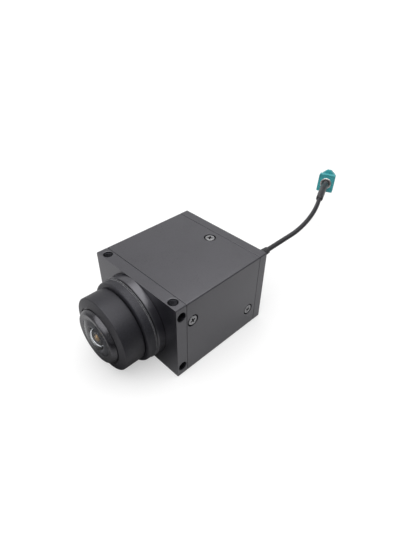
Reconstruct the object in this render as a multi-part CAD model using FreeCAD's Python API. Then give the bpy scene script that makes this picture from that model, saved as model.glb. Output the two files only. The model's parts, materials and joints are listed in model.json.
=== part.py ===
import FreeCAD, Part
import math
import os

Vec = FreeCAD.Vector

# Housing, in millimetres: it stands on z = 0, the lens looks along -Y, the origin is the middle of the base.
HOUSING_W = 60.0
HOUSING_H = 44.0
HOUSING_L = 62.0
FRONT_T = 6.2
COVER_T = 5.5
WALL = 2.3
EDGE_CHAMFER = 0.5
SEAM_BEVEL = 0.2
CORNER_R = 2.0

# Fits: a running gap for turning pieces, a slip gap for pieces that are pushed together.
RUN_GAP = 0.3
SLIP_GAP = 0.1
THREAD_GAP = 0.05
SAME_POINT = 1e-6
NEAR_EDGE = 0.01
OVER_CUT = 1.0

# Register rims that enter the sleeve, with a seal groove in each.
RIM_WALL = 3.2
FRONT_RIM_L = 7.0
COVER_RIM_L = 8.0
SEAL_GROOVE_OFFSET = 1.0
SEAL_W = 1.2
SEAL_DEPTH = 0.9

# Tapped holes for brackets, in the front block's four edges: insets from the housing's sides.
TAP_R = 2.1
TAP_MOUTH_R = 2.75
TAP_MOUTH_DEPTH = 0.4
TAP_TOP_INSET = 5.5
TAP_BASE_INSET = 7.5
TAP_RIGHT_INSET = 5.5
TAP_LEFT_INSET = 7.0
TAP_DEEP = 8.0
TAP_SHALLOW = 3.2

# Cross-recess screws that hold the sleeve, sunk in counterbores.
SEAT_R = 3.2
SEAT_DEPTH = 1.4
HEAD_R = 2.6
HEAD_H = 1.1
HEAD_BEVEL = 0.2
SHANK_R = 1.25
SHANK_L = 5.4
RECESS_L = 2.9
RECESS_W = 0.7
RECESS_DEPTH = 0.8
FRONT_SCREW_INSET = 9.9
REAR_SCREW_INSET = 11.1
SIDE_SCREW_DZ = 10.0

# Lens boss and bore: stations along the lens are measured forward from the front block's face.
BOSS_EDGE_GAP = 0.05
BOSS_L = 4.2
BOSS_BEVEL = 0.4
THREAD_R = 14.85
THREAD_END = -5.2
WASHER_T = 0.4
WASHER_INSET = 1.0
RING_R = 21.9
RING_FRONT = 9.5
RING_BEVEL = 0.4
RING_FRONT_BEVEL = 0.7
RING_TRAVEL = 0.6

# Lens barrel and its optical stack.
BARREL_R = 19.3
BARREL_SHOULDER = 19.4
BARREL_BEND = (18.98, 20.35)
BARREL_FACE = (18.1, 20.85)
BARREL_FRONT = 21.7
RIM_R = 14.9
RIM_SEAT = 19.0
RIM_LIP = 0.15
RIM_BEND = (14.15, 23.1)
RIM_CREST = (12.95, 23.95)
RIM_CREST_W = 0.55
DOME_R = 11.8
DOME_EDGE = 23.7
DOME_APEX = 26.3
FRONT_EDGE_R = 12.5
FRONT_EDGE_TOP = 22.6
FRONT_SEAT = 16.2
FRONT_HOLLOW_R = 9.6
FRONT_HOLLOW_RIM = 9.2
SECOND_R = 9.3
SECOND_SEAT = 10.5
SECOND_EDGE = 14.0
SECOND_FRONT_R = 17.0
SECOND_HOLLOW_R = 5.6
SECOND_HOLLOW_RIM = 5.2
STACK_R = 7.0
STOP_FLANGE_R = 4.2
STOP_FLANGE_FRONT = 5.2
STOP_FLANGE_REAR = 4.6
STOP_R = 1.8
STOP_T = 0.2
SPACER_WALL = 0.5
THIRD_EDGE = 8.6
THIRD_FRONT_R = 12.0
THIRD_REAR_R = -20.0
CROWN_EDGE = 2.9
CROWN_R = 20.0
CEMENT_EDGE = 1.0
CEMENT_R = 16.0
FLINT_EDGE = -1.6
FLINT_R = -80.0
LAST_FRONT = -2.6
LAST_FRONT_R = 26.0
LAST_REAR = -3.8
LAST_REAR_R = 40.0
FILTER_FRONT = -4.5
FILTER_REAR = -5.0
ORING_FRONT = 1.8
ORING_REAR = 0.6
ORING_DEPTH = 0.8

# Board stack behind the lens.
BOARD_SIDE_GAP = 2.4
BOARD_TOP_GAP = 1.4
BOARD_T = 1.6
BOARD_R = 1.5
PILLAR_SIDE_INSET = 8.5
PILLAR_TOP_INSET = 2.5
PILLAR_R = 2.4
PILLAR_L = 5.6
STUD_R = 0.8
STUD_HOLE_R = 1.1
STUD_L = 5.0
STUD_END_GAP = 0.5
STANDOFF_L = 11.0
STANDOFF_AF = 4.0
PAN_R = 1.9
PAN_H = 1.3
PAN_EDGE_R = 0.5

# What the boards carry.
SENSOR_W = 15.0
SENSOR_H = 13.0
SENSOR_T = 1.6
GLASS_W = 11.6
GLASS_H = 9.4
GLASS_T = 0.6
GLASS_SEAT = 0.4
PROCESSOR_W = 13.0
PROCESSOR_T = 1.4
MEMORY_W = 8.0
MEMORY_H = 11.0
MEMORY_X = 13.0
SERIALIZER_W = 8.0
CHIP_T = 1.0
PAD_T = 1.0
PAD_W = 14.0
COIL_W = 7.0
COIL_H = 3.2
COIL_R = 1.2
COIL_BEVEL = 0.4
COIL_X = -8.0
COIL_DZ = 5.0
CAP_R = 2.0
CAP_L = 5.4
CAP_X = -16.0
CAP_STEP = 5.0
CAP_DZ = -3.0
LINK_PILLAR_GAP = 3.5
LINK_H = 4.2
LINK_SOCKET_H = 4.6
LINK_END = 1.0
LINK_TONGUE_H = 2.6
LINK_TONGUE_L = 2.0
SENSOR_LINK_DZ = -9.0
SERIALIZER_LINK_DZ = -10.5
JACK_W = 5.2
JACK_FLANGE_T = 1.2
JACK_R = 2.4
JACK_L = 6.0
JACK_COLLAR_R = 2.7
JACK_COLLAR_Y = 3.0

# Cable exit on the rear cover and the pigtail, whose route is measured from the exit.
GLAND_SIDE_INSET = 11.5
GLAND_TOP_INSET = 12.3
GLAND_R = 3.4
GLAND_COLLAR_R = 4.75
GLAND_COLLAR_L = 3.5
GLAND_SHANK_L = 4.0
GLAND_TAIL_L = 0.6
GLAND_NUT_L = 3.0
BOOT_END = 17.0
BOOT_BEAD = 0.5
BOOT_BEAD_L = 1.8
BOOT_NECK = 0.2
BOOT_WAIST_SHARE = 0.3
BOOT_WAIST_AT = 0.55
BOOT_TIP_R = 2.0
BOOT_TIP_EDGE = 0.3
BOOT_GRIP = 4.0
CABLE_R = 1.4
CABLE_ROUTE = [
    (0.0, 28.5, 0.0),
    (1.3, 47.2, 1.5),
    (-2.4, 68.5, 4.3),
    (-13.1, 92.2, 5.1),
    (-22.5, 114.2, 0.8),
]
BEND_SHARE = 0.45
SLEEVE_R = 2.45

# Coax connector at the far end, in its own frame: +Y out of the socket, +Z towards the lock lug.
PLUG_W = 11.3
PLUG_H = 12.2
PLUG_L = 13.5
PLUG_EDGE_R = 0.8
COLLAR_L = 5.6
SHELL_STEP = 1.05
SOCKET_W = 7.2
SOCKET_DEPTH = 9.5
SOCKET_EDGE_R = 0.6
FERRULE_R = 4.0
FERRULE_LIP = 0.8
CONTACT_R = 2.35
CONTACT_WALL = 0.3
CONTACT_L = 2.6
PIN_R = 0.35
PIN_LEAD = 0.3
CORE_INSET = 0.5
LUG_W = 2.6
LUG_FOOT_W = 8.6
LUG_RISE = 3.0
LUG_BACK = 7.4
LUG_CREST = 10.4
LUG_LIP = 0.3
LUG_FRONT_GAP = 0.6
RIB_ROOT = 0.5
RIB_RISE = 0.7
CODE_X = 2.2
CODE_W = 1.2
CODE_BACK = 8.0
GRIP_DEPTH = 0.7
GRIP_Y0 = 1.6
GRIP_Y1 = 4.6
GRIP_H = 5.2

FRONT_Y = -HOUSING_L / 2
AXIS_Z = HOUSING_H / 2
BOSS_R = HOUSING_H / 2 - BOSS_EDGE_GAP
SLEEVE_Y0 = FRONT_Y + FRONT_T
COVER_Y0 = FRONT_Y + HOUSING_L - COVER_T
REAR_Y = FRONT_Y + HOUSING_L
INNER_W = HOUSING_W - 2 * WALL
INNER_H = HOUSING_H - 2 * WALL
RIM_W = INNER_W - 2 * SLIP_GAP
RIM_H = INNER_H - 2 * SLIP_GAP
BOARD_W = RIM_W - 2 * RIM_WALL - 2 * BOARD_SIDE_GAP
BOARD_H = RIM_H - 2 * RIM_WALL - 2 * BOARD_TOP_GAP
PILLAR_X = BOARD_W / 2 - PILLAR_SIDE_INSET
PILLAR_Z = BOARD_H / 2 - PILLAR_TOP_INSET
LINK_W = 2 * (PILLAR_X - LINK_PILLAR_GAP)
LINK_TONGUE_W = LINK_W - 2 * LINK_END
GLAND_X = HOUSING_W / 2 - GLAND_SIDE_INSET
GLAND_Z = HOUSING_H - GLAND_TOP_INSET
RING_REAR = BOSS_L + WASHER_T
SHOULDER = RING_FRONT + RING_TRAVEL
SENSOR_BOARD_Y = SLEEVE_Y0 + PILLAR_L
PROCESSOR_BOARD_Y = SENSOR_BOARD_Y + BOARD_T + STANDOFF_L
SERIALIZER_BOARD_Y = PROCESSOR_BOARD_Y + BOARD_T + STANDOFF_L
BOARD_REAR_Y = SERIALIZER_BOARD_Y + BOARD_T


# A box from its lower and upper corners.
def box(x0, x1, y0, y1, z0, z1):
    return Part.makeBox(x1 - x0, y1 - y0, z1 - z0, Vec(x0, y0, z0))


# A box centred on the optical axis, with its long edges rounded or chamfered.
def prism(w, h, y0, y1, r=0.0, chamfer=0.0, x=0.0, z=AXIS_Z):
    body = box(x - w / 2, x + w / 2, y0, y1, z - h / 2, z + h / 2)
    long_edges = [e for e in body.Edges if abs(e.tangentAt(e.FirstParameter).y) > 0.99]
    if r:
        return body.makeFillet(r, long_edges)
    if chamfer:
        return body.makeChamfer(chamfer, long_edges)
    return body


# A cylinder along +Y.
def rod(r, y0, y1, x=0.0, z=AXIS_Z):
    return Part.makeCylinder(r, y1 - y0, Vec(x, y0, z), Vec(0, 1, 0))


# A solid turned about the Y axis through (x, z): each step is a point, or a bend point and an end point.
def turned(points, to_y, x=0.0, z=AXIS_Z):
    def place(p):
        return Vec(x + p[0], to_y(p[1]), z)
    edges = []
    here = place(points[0])
    for step in points[1:] + [points[0]]:
        if isinstance(step[0], tuple):
            there = place(step[1])
            edges.append(Part.Arc(here, place(step[0]), there).toShape())
        else:
            there = place(step)
            if there.distanceToPoint(here) > SAME_POINT:
                edges.append(Part.LineSegment(here, there).toShape())
        here = there
    face = Part.Face(Part.Wire(edges))
    return face.revolve(Vec(x, 0, z), Vec(0, 1, 0), 360)


# Stations along the lens run forward from the front face.
def lens_y(t):
    return FRONT_Y - t


# A turned piece of the lens.
def lens_turned(*points):
    return turned(list(points), lens_y)


# Depth of a spherical surface of the given radius at distance r from the axis.
def sag(radius, r):
    return radius - math.sqrt(radius * radius - r * r)


# The bend and end points of a spherical surface that meets the axis at apex.
def to_axis(radius, r, apex, sign):
    half = r / 2
    return ((half, apex - sign * sag(radius, half)), (0.0, apex))


# The bend and end points of a spherical surface that leaves the axis at apex.
def from_axis(radius, r, apex, sign):
    half = r / 2
    return ((half, apex - sign * sag(radius, half)), (r, apex - sign * sag(radius, r)))


# Turns a piece built along +Z so that +Z points along the normal, and moves it.
def aimed(shape, at, normal):
    out = shape.copy()
    out.Placement = FreeCAD.Placement(at, FreeCAD.Rotation(Vec(0, 0, 1), normal))
    return out


# The four places where boards are held.
def board_points():
    return [(sx * PILLAR_X, AXIS_Z + sz * PILLAR_Z) for sx in (-1, 1) for sz in (-1, 1)]


# Positions and outward normals of the three screws at the front and at the rear of the sleeve.
def front_screw_seats():
    y = FRONT_Y + FRONT_SCREW_INSET
    return [
        (Vec(HOUSING_W / 2, y, AXIS_Z + SIDE_SCREW_DZ), Vec(1, 0, 0)),
        (Vec(-HOUSING_W / 2, y, AXIS_Z - SIDE_SCREW_DZ), Vec(-1, 0, 0)),
        (Vec(0, y, 0), Vec(0, 0, -1)),
    ]


def rear_screw_seats():
    y = REAR_Y - REAR_SCREW_INSET
    return [
        (Vec(HOUSING_W / 2, y, AXIS_Z - SIDE_SCREW_DZ), Vec(1, 0, 0)),
        (Vec(-HOUSING_W / 2, y, AXIS_Z + SIDE_SCREW_DZ), Vec(-1, 0, 0)),
        (Vec(0, y, HOUSING_H), Vec(0, 0, 1)),
    ]


# Small bevels on the outer edges of an end face, which make the seams visible.
def bevel_end(body, y):
    def outer(e):
        on_plane = all(abs(v.Y - y) < 1e-6 for v in e.Vertexes)
        at_side = all(abs(abs(v.X) - HOUSING_W / 2) < EDGE_CHAMFER + NEAR_EDGE for v in e.Vertexes)
        at_top = all(abs(abs(v.Z - AXIS_Z) - HOUSING_H / 2) < EDGE_CHAMFER + NEAR_EDGE for v in e.Vertexes)
        return on_plane and (at_side or at_top)
    return body.makeChamfer(SEAM_BEVEL, [e for e in body.Edges if outer(e)])


# A register rim with its seal groove, its root at y and its tip at y + sign * length.
def register_rim(y, length, sign, seats):
    y0, y1 = sorted((y, y + sign * length))
    rim = prism(RIM_W, RIM_H, y0, y1, r=CORNER_R - SLIP_GAP)
    rim = rim.cut(prism(RIM_W - 2 * RIM_WALL, RIM_H - 2 * RIM_WALL, y0, y1, r=CORNER_R))
    g0, g1 = sorted((y + sign * SEAL_GROOVE_OFFSET, y + sign * (SEAL_GROOVE_OFFSET + SEAL_W)))
    floor = prism(RIM_W - 2 * SEAL_DEPTH, RIM_H - 2 * SEAL_DEPTH, g0, g1, r=CORNER_R - SEAL_DEPTH)
    rim = rim.cut(prism(INNER_W, INNER_H, g0, g1).cut(floor))
    for at, normal in seats:
        depth = WALL + RIM_WALL + OVER_CUT
        rim = rim.cut(Part.makeCylinder(SHANK_R + THREAD_GAP, depth, at, normal * -1))
    return rim


# A blind tapped hole with a bevelled mouth.
def tapped_hole(at, normal, depth):
    hole = Part.makeCylinder(TAP_R, depth, at, normal * -1)
    cone = Part.makeCone(TAP_MOUTH_R, TAP_R, TAP_MOUTH_DEPTH, at, normal * -1)
    return hole.fuse(cone)


# Tapped holes: deep pairs in the top and bottom edges, shallow pairs in the two sides.
def bracket_holes():
    y = FRONT_Y + FRONT_T / 2
    holes = []
    for z, nz, inset in ((HOUSING_H, 1, TAP_TOP_INSET), (0.0, -1, TAP_BASE_INSET)):
        for sx in (-1, 1):
            at = Vec(sx * (HOUSING_W / 2 - inset), y, z)
            holes.append(tapped_hole(at, Vec(0, 0, nz), TAP_DEEP))
    for sx, inset in ((1, TAP_RIGHT_INSET), (-1, TAP_LEFT_INSET)):
        for sz in (-1, 1):
            at = Vec(sx * HOUSING_W / 2, y, AXIS_Z + sz * (HOUSING_H / 2 - inset))
            holes.append(tapped_hole(at, Vec(sx, 0, 0), TAP_SHALLOW))
    return holes


def front_block():
    body = prism(HOUSING_W, HOUSING_H, FRONT_Y, SLEEVE_Y0, chamfer=EDGE_CHAMFER)
    body = bevel_end(body, SLEEVE_Y0)
    boss = lens_turned((0, 0), (BOSS_R, 0), (BOSS_R, BOSS_L - BOSS_BEVEL),
                       (BOSS_R - BOSS_BEVEL, BOSS_L), (0, BOSS_L))
    body = body.fuse([boss, register_rim(SLEEVE_Y0, FRONT_RIM_L, 1, front_screw_seats())])
    for x, z in board_points():
        body = body.fuse(rod(PILLAR_R, SLEEVE_Y0, SENSOR_BOARD_Y, x, z))
    body = body.cut(rod(THREAD_R + RUN_GAP, FRONT_Y - BOSS_L, SLEEVE_Y0))
    for x, z in board_points():
        body = body.cut(rod(STUD_R + THREAD_GAP, SENSOR_BOARD_Y - STUD_L, SENSOR_BOARD_Y, x, z))
    return body.cut(bracket_holes()).removeSplitter()


def housing_sleeve():
    body = prism(HOUSING_W, HOUSING_H, SLEEVE_Y0, COVER_Y0, chamfer=EDGE_CHAMFER)
    body = bevel_end(bevel_end(body, SLEEVE_Y0), COVER_Y0)
    body = body.cut(prism(INNER_W, INNER_H, SLEEVE_Y0, COVER_Y0, r=CORNER_R))
    shank = SHANK_R + SLIP_GAP
    for at, normal in front_screw_seats() + rear_screw_seats():
        body = body.cut(Part.makeCylinder(shank, WALL + OVER_CUT, at, normal * -1))
        body = body.cut(Part.makeCylinder(SEAT_R, SEAT_DEPTH, at, normal * -1))
    return body


def rear_cover():
    body = prism(HOUSING_W, HOUSING_H, COVER_Y0, REAR_Y, chamfer=EDGE_CHAMFER)
    body = bevel_end(body, COVER_Y0)
    rear_edges = [e for e in body.Edges if all(abs(v.Y - REAR_Y) < 1e-6 for v in e.Vertexes)]
    body = body.makeChamfer(EDGE_CHAMFER / 2, rear_edges)
    pillar = prism(PAD_W, PAD_W, BOARD_REAR_Y + CHIP_T + PAD_T, COVER_Y0, r=CORNER_R)
    body = body.fuse([register_rim(COVER_Y0, COVER_RIM_L, -1, rear_screw_seats()), pillar])
    return body.cut(rod(GLAND_R + THREAD_GAP, COVER_Y0, REAR_Y, GLAND_X, GLAND_Z)).removeSplitter()


# A seal frame that fills a rim's groove and touches the sleeve's inner wall.
def seal_frame(y, sign):
    y0, y1 = sorted((y + sign * SEAL_GROOVE_OFFSET, y + sign * (SEAL_GROOVE_OFFSET + SEAL_W)))
    inner = prism(RIM_W - 2 * SEAL_DEPTH, RIM_H - 2 * SEAL_DEPTH, y0, y1, r=CORNER_R - SEAL_DEPTH)
    return prism(INNER_W, INNER_H, y0, y1, r=CORNER_R).cut(inner)


# A cross-recess screw along -Z with the sleeve's outer face at z = 0.
def housing_screw():
    top = HEAD_H - SEAT_DEPTH
    head = Part.makeCylinder(HEAD_R, HEAD_H, Vec(0, 0, -SEAT_DEPTH), Vec(0, 0, 1))
    rim = [e for e in head.Edges if abs(e.BoundBox.ZMin - top) < SAME_POINT]
    head = head.makeChamfer(HEAD_BEVEL, rim)
    shank = Part.makeCylinder(SHANK_R, SHANK_L - SEAT_DEPTH, Vec(0, 0, -SHANK_L), Vec(0, 0, 1))
    screw = head.fuse(shank)
    for w, h in ((RECESS_L, RECESS_W), (RECESS_W, RECESS_L)):
        screw = screw.cut(box(-w / 2, w / 2, -h / 2, h / 2, top - RECESS_DEPTH, top))
    return screw.removeSplitter()


def screw_group(seats):
    screw = housing_screw()
    return Part.makeCompound([aimed(screw, at, normal) for at, normal in seats])


def lens_barrel():
    groove = THREAD_R - ORING_DEPTH
    return lens_turned(
        (THREAD_R, THREAD_END), (THREAD_R, ORING_REAR - SLIP_GAP), (groove, ORING_REAR - SLIP_GAP),
        (groove, ORING_FRONT + SLIP_GAP), (THREAD_R, ORING_FRONT + SLIP_GAP),
        (THREAD_R, SHOULDER), (BARREL_R - RING_BEVEL, SHOULDER),
        (BARREL_R, SHOULDER + RING_BEVEL), (BARREL_R, BARREL_SHOULDER),
        (BARREL_BEND, BARREL_FACE), (RIM_R, BARREL_FRONT), (RIM_R, RIM_SEAT),
        (FRONT_EDGE_R, RIM_SEAT), (FRONT_EDGE_R, FRONT_SEAT), (SECOND_R, FRONT_SEAT),
        (SECOND_R, SECOND_SEAT), (STACK_R, SECOND_SEAT), (STACK_R, STOP_FLANGE_FRONT),
        (STOP_FLANGE_R, STOP_FLANGE_FRONT), (STOP_FLANGE_R, STOP_FLANGE_REAR),
        (STACK_R, STOP_FLANGE_REAR), (STACK_R, THREAD_END))


# The domed front element: a steep meniscus with a bevelled edge under the retaining ring.
def front_element():
    rise = DOME_APEX - DOME_EDGE
    dome = (DOME_R * DOME_R + rise * rise) / (2 * rise)
    hollow = FRONT_SEAT + sag(FRONT_HOLLOW_R, FRONT_HOLLOW_RIM)
    return lens_turned(
        (FRONT_HOLLOW_RIM, FRONT_SEAT), (FRONT_EDGE_R, FRONT_SEAT), (FRONT_EDGE_R, FRONT_EDGE_TOP),
        (DOME_R, DOME_EDGE), to_axis(dome, DOME_R, DOME_APEX, 1), (0, hollow),
        from_axis(FRONT_HOLLOW_R, FRONT_HOLLOW_RIM, hollow, 1))


# The domed ring that screws into the barrel's face and holds the dome's bevel.
def front_retaining_ring():
    crest = RIM_CREST[0] - RIM_CREST_W
    return lens_turned(
        (FRONT_EDGE_R, RIM_SEAT), (RIM_R, RIM_SEAT), (RIM_R, BARREL_FRONT - RIM_LIP),
        (RIM_R - RIM_LIP, BARREL_FRONT), (RIM_BEND, RIM_CREST), (crest, RIM_CREST[1]),
        (DOME_R, DOME_EDGE), (FRONT_EDGE_R, FRONT_EDGE_TOP))


def second_element():
    clear = SECOND_R - SPACER_WALL - SLIP_GAP
    crown = SECOND_EDGE + sag(SECOND_FRONT_R, clear)
    hollow = SECOND_SEAT + sag(SECOND_HOLLOW_R, SECOND_HOLLOW_RIM)
    return lens_turned(
        (SECOND_HOLLOW_RIM, SECOND_SEAT), (SECOND_R, SECOND_SEAT), (SECOND_R, SECOND_EDGE),
        (clear, SECOND_EDGE), to_axis(SECOND_FRONT_R, clear, crown, 1), (0, hollow),
        from_axis(SECOND_HOLLOW_R, SECOND_HOLLOW_RIM, hollow, 1))


# A plain spacer ring between two lens stations.
def lens_ring(r_in, r_out, t0, t1):
    return lens_turned((r_in, t0), (r_out, t0), (r_out, t1), (r_in, t1))


# A lens with a front and a rear sphere inside a flat rim; a negative radius is hollow.
def lens_element(r, t0, t1, front, rear):
    clear = r - SPACER_WALL
    front_apex = t1 + math.copysign(sag(abs(front), clear), front)
    rear_apex = t0 - math.copysign(sag(abs(rear), clear), rear)
    front_arc = to_axis(abs(front), clear, front_apex, math.copysign(1, front))
    rear_arc = from_axis(abs(rear), clear, rear_apex, -math.copysign(1, rear))
    return lens_turned((clear, t0), (r, t0), (r, t1), (clear, t1), front_arc, (0, rear_apex), rear_arc)


def lens_lock_ring():
    bore = THREAD_R + RUN_GAP
    return lens_turned(
        (bore, RING_REAR), (RING_R - RING_BEVEL, RING_REAR), (RING_R, RING_REAR + RING_BEVEL),
        (RING_R, RING_FRONT - RING_FRONT_BEVEL), (RING_R - RING_FRONT_BEVEL, RING_FRONT), (bore, RING_FRONT))


# A board with rounded corners, its four stud holes and no other detail.
def board(y):
    body = prism(BOARD_W, BOARD_H, y, y + BOARD_T, r=BOARD_R)
    for x, z in board_points():
        body = body.cut(rod(STUD_HOLE_R, y, y + BOARD_T, x, z))
    return body


# A hexagon prism along +Y, flats at z.
def hexagon(af, y0, y1, x, z):
    r = af / math.sqrt(3)
    pts = [Vec(x + r * math.cos(math.radians(60 * i)), y0, z + r * math.sin(math.radians(60 * i)))
           for i in range(6)]
    return Part.Face(Part.makePolygon(pts + pts[:1])).extrude(Vec(0, y1 - y0, 0))


# Four standoffs that clamp a board from behind, each with a stud ahead and a tapped end.
def standoffs(y):
    group = []
    for x, z in board_points():
        body = hexagon(STANDOFF_AF, y, y + STANDOFF_L, x, z)
        body = body.fuse(rod(STUD_R, y - BOARD_T - STUD_L + STUD_END_GAP, y, x, z))
        group.append(body.cut(rod(STUD_R + THREAD_GAP, y + STANDOFF_L - STUD_L, y + STANDOFF_L, x, z)))
    return Part.makeCompound(group)


# Four pan-head screws behind the last board.
def board_screws():
    group = []
    for x, z in board_points():
        head = rod(PAN_R, BOARD_REAR_Y, BOARD_REAR_Y + PAN_H, x, z)
        edge = [e for e in head.Edges if abs(e.BoundBox.YMin - BOARD_REAR_Y - PAN_H) < SAME_POINT]
        head = head.makeFillet(PAN_EDGE_R, edge)
        shank = rod(STUD_R, BOARD_REAR_Y - BOARD_T - STUD_L + STUD_END_GAP, BOARD_REAR_Y, x, z)
        group.append(head.fuse(shank))
    return Part.makeCompound(group)


# A stacking connector between two boards: a header and a stepped socket that meet half way.
def board_link(y, z):
    mid = y + STANDOFF_L / 2
    tongue = prism(LINK_TONGUE_W, LINK_TONGUE_H, mid, mid + LINK_TONGUE_L, z=z)
    header = prism(LINK_W, LINK_H, y, mid, z=z).fuse(tongue)
    socket = prism(LINK_W, LINK_SOCKET_H, mid, y + STANDOFF_L, z=z).cut(tongue)
    return Part.makeCompound([header, socket])


def image_sensor():
    y = SENSOR_BOARD_Y - SENSOR_T
    return prism(SENSOR_W, SENSOR_H, y, SENSOR_BOARD_Y).cut(prism(GLASS_W, GLASS_H, y, y + GLASS_SEAT))


def sensor_cover_glass():
    y = SENSOR_BOARD_Y - SENSOR_T + GLASS_SEAT
    return prism(GLASS_W, GLASS_H, y - GLASS_T, y)


def memory_chips():
    y = PROCESSOR_BOARD_Y + BOARD_T
    return Part.makeCompound([prism(MEMORY_W, MEMORY_H, y, y + CHIP_T, x=sx * MEMORY_X) for sx in (-1, 1)])


# A shielded coil with a bevelled top.
def power_inductor():
    y = SERIALIZER_BOARD_Y - COIL_H
    coil = prism(COIL_W, COIL_W, y, SERIALIZER_BOARD_Y, r=COIL_R, x=COIL_X, z=AXIS_Z + COIL_DZ)
    lid = [e for e in coil.Edges if all(abs(v.Y - y) < SAME_POINT for v in e.Vertexes)]
    return coil.makeChamfer(COIL_BEVEL, lid)


def bulk_capacitors():
    y = SERIALIZER_BOARD_Y
    row = [CAP_X + CAP_STEP * i for i in range(3)]
    return Part.makeCompound([rod(CAP_R, y - CAP_L, y, x, AXIS_Z + CAP_DZ) for x in row])


def board_coax_jack():
    top = BOARD_REAR_Y + JACK_FLANGE_T
    ledge = BOARD_REAR_Y + JACK_COLLAR_Y
    flange = prism(JACK_W, JACK_W, BOARD_REAR_Y, top, x=GLAND_X, z=GLAND_Z)
    barrel = rod(JACK_R, top, BOARD_REAR_Y + JACK_L, GLAND_X, GLAND_Z)
    collar = rod(JACK_COLLAR_R, ledge, ledge + JACK_FLANGE_T, GLAND_X, GLAND_Z)
    return flange.fuse([barrel, collar]).removeSplitter()


# The gland: a hexagon collar outside, a threaded shank through the cover.
def cable_gland():
    collar = hexagon(2 * GLAND_COLLAR_R, REAR_Y, REAR_Y + GLAND_COLLAR_L, GLAND_X, GLAND_Z)
    shank = rod(GLAND_R, COVER_Y0 - GLAND_SHANK_L, REAR_Y, GLAND_X, GLAND_Z)
    ledge = REAR_Y + GLAND_COLLAR_L
    tail = rod(GLAND_R, ledge, ledge + GLAND_TAIL_L, GLAND_X, GLAND_Z)
    return collar.fuse([shank, tail]).removeSplitter()


def gland_nut():
    y = COVER_Y0 - GLAND_NUT_L
    body = hexagon(2 * GLAND_COLLAR_R, y, COVER_Y0, GLAND_X, GLAND_Z)
    return body.cut(rod(GLAND_R, y, COVER_Y0, GLAND_X, GLAND_Z))


# The moulded boot: a bead at the gland, then a hollow curve that tapers to the cable.
def cable_boot():
    y0 = REAR_Y + GLAND_COLLAR_L + GLAND_TAIL_L
    length = REAR_Y + BOOT_END - y0
    bead = GLAND_R + BOOT_BEAD
    neck = (GLAND_R - BOOT_NECK, BOOT_BEAD_L + BOOT_BEAD)
    waist_r = BOOT_TIP_R + BOOT_WAIST_SHARE * (neck[0] - BOOT_TIP_R) + BOOT_NECK / 2
    waist = (waist_r, BOOT_WAIST_AT * length)
    tip = length - BOOT_TIP_EDGE
    return turned([
        (0, 0), (bead, 0), (bead, BOOT_BEAD_L), neck, (waist, (BOOT_TIP_R, tip)),
        (BOOT_TIP_R - BOOT_TIP_EDGE, length), (CABLE_R, length), (CABLE_R, length - BOOT_GRIP),
        (0, length - BOOT_GRIP)], lambda t: y0 + t, GLAND_X, GLAND_Z)


# The pigtail's control points, from inside the boot to the connector's rear face.
def cable_points():
    start = Vec(GLAND_X, REAR_Y + BOOT_END - BOOT_GRIP, GLAND_Z)
    return [start] + [Vec(GLAND_X + x, REAR_Y + y, GLAND_Z + z) for x, y, z in CABLE_ROUTE]


# Straight runs joined by tangent arcs, each as wide as its shorter neighbour allows.
def cable_edges():
    pts = cable_points()
    edges = []
    here = pts[0]
    for before, corner, after in zip(pts, pts[1:], pts[2:]):
        back = (before - corner).normalize()
        ahead = (after - corner).normalize()
        turn = math.pi - back.getAngle(ahead)
        reach = BEND_SHARE * min((before - corner).Length, (after - corner).Length)
        radius = reach / math.tan(turn / 2)
        print("cable turn %.1f deg radius %.1f mm" % (math.degrees(turn), radius))
        first = corner + back * reach
        last = corner + ahead * reach
        bisector = (back + ahead).normalize()
        middle = corner + bisector * (radius / math.cos(turn / 2) - radius)
        edges.append(Part.LineSegment(here, first).toShape())
        edges.append(Part.Arc(first, middle, last).toShape())
        here = last
    edges.append(Part.LineSegment(here, pts[-1]).toShape())
    return edges


# A round bar of the given radius along joined edges.
def swept(edges, r):
    first = edges[0]
    start = first.FirstParameter
    ring = Part.Wire(Part.makeCircle(r, first.valueAt(start), first.tangentAt(start)))
    return Part.Wire(edges).makePipeShell([ring], True, True)


def coax_cable():
    edges = cable_edges()
    length = sum(e.Length for e in edges)
    tube = swept(edges, CABLE_R)
    section = math.pi * CABLE_R * CABLE_R
    print("cable length %.1f mm, volume %.1f of %.1f mm3" % (length, tube.Volume, section * length))
    return tube


# The heat shrink over the last bend and the straight run into the connector.
def cable_heat_shrink():
    last_run = cable_edges()[-2:]
    return swept(last_run, SLEEVE_R).cut(swept(last_run, CABLE_R))


# Puts a connector piece, built along +Y from the rear face, at the cable's end.
def on_cable_end(shape):
    pts = cable_points()
    axis = (pts[-1] - pts[-2]).normalize()
    side = axis.cross(Vec(0, 0, 1)).normalize()
    up = side.cross(axis)
    m = FreeCAD.Matrix(side.x, axis.x, up.x, pts[-1].x, side.y, axis.y, up.y, pts[-1].y,
                       side.z, axis.z, up.z, pts[-1].z, 0, 0, 0, 1)
    out = shape.copy()
    out.Placement = FreeCAD.Placement(m)
    return out


# A tube along +Y on the connector's own axis.
def plug_tube(r_in, r_out, y0, y1):
    body = rod(r_out, y0, y1, 0.0, 0.0)
    return body.cut(rod(r_in, y0, y1, 0.0, 0.0)) if r_in else body


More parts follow.
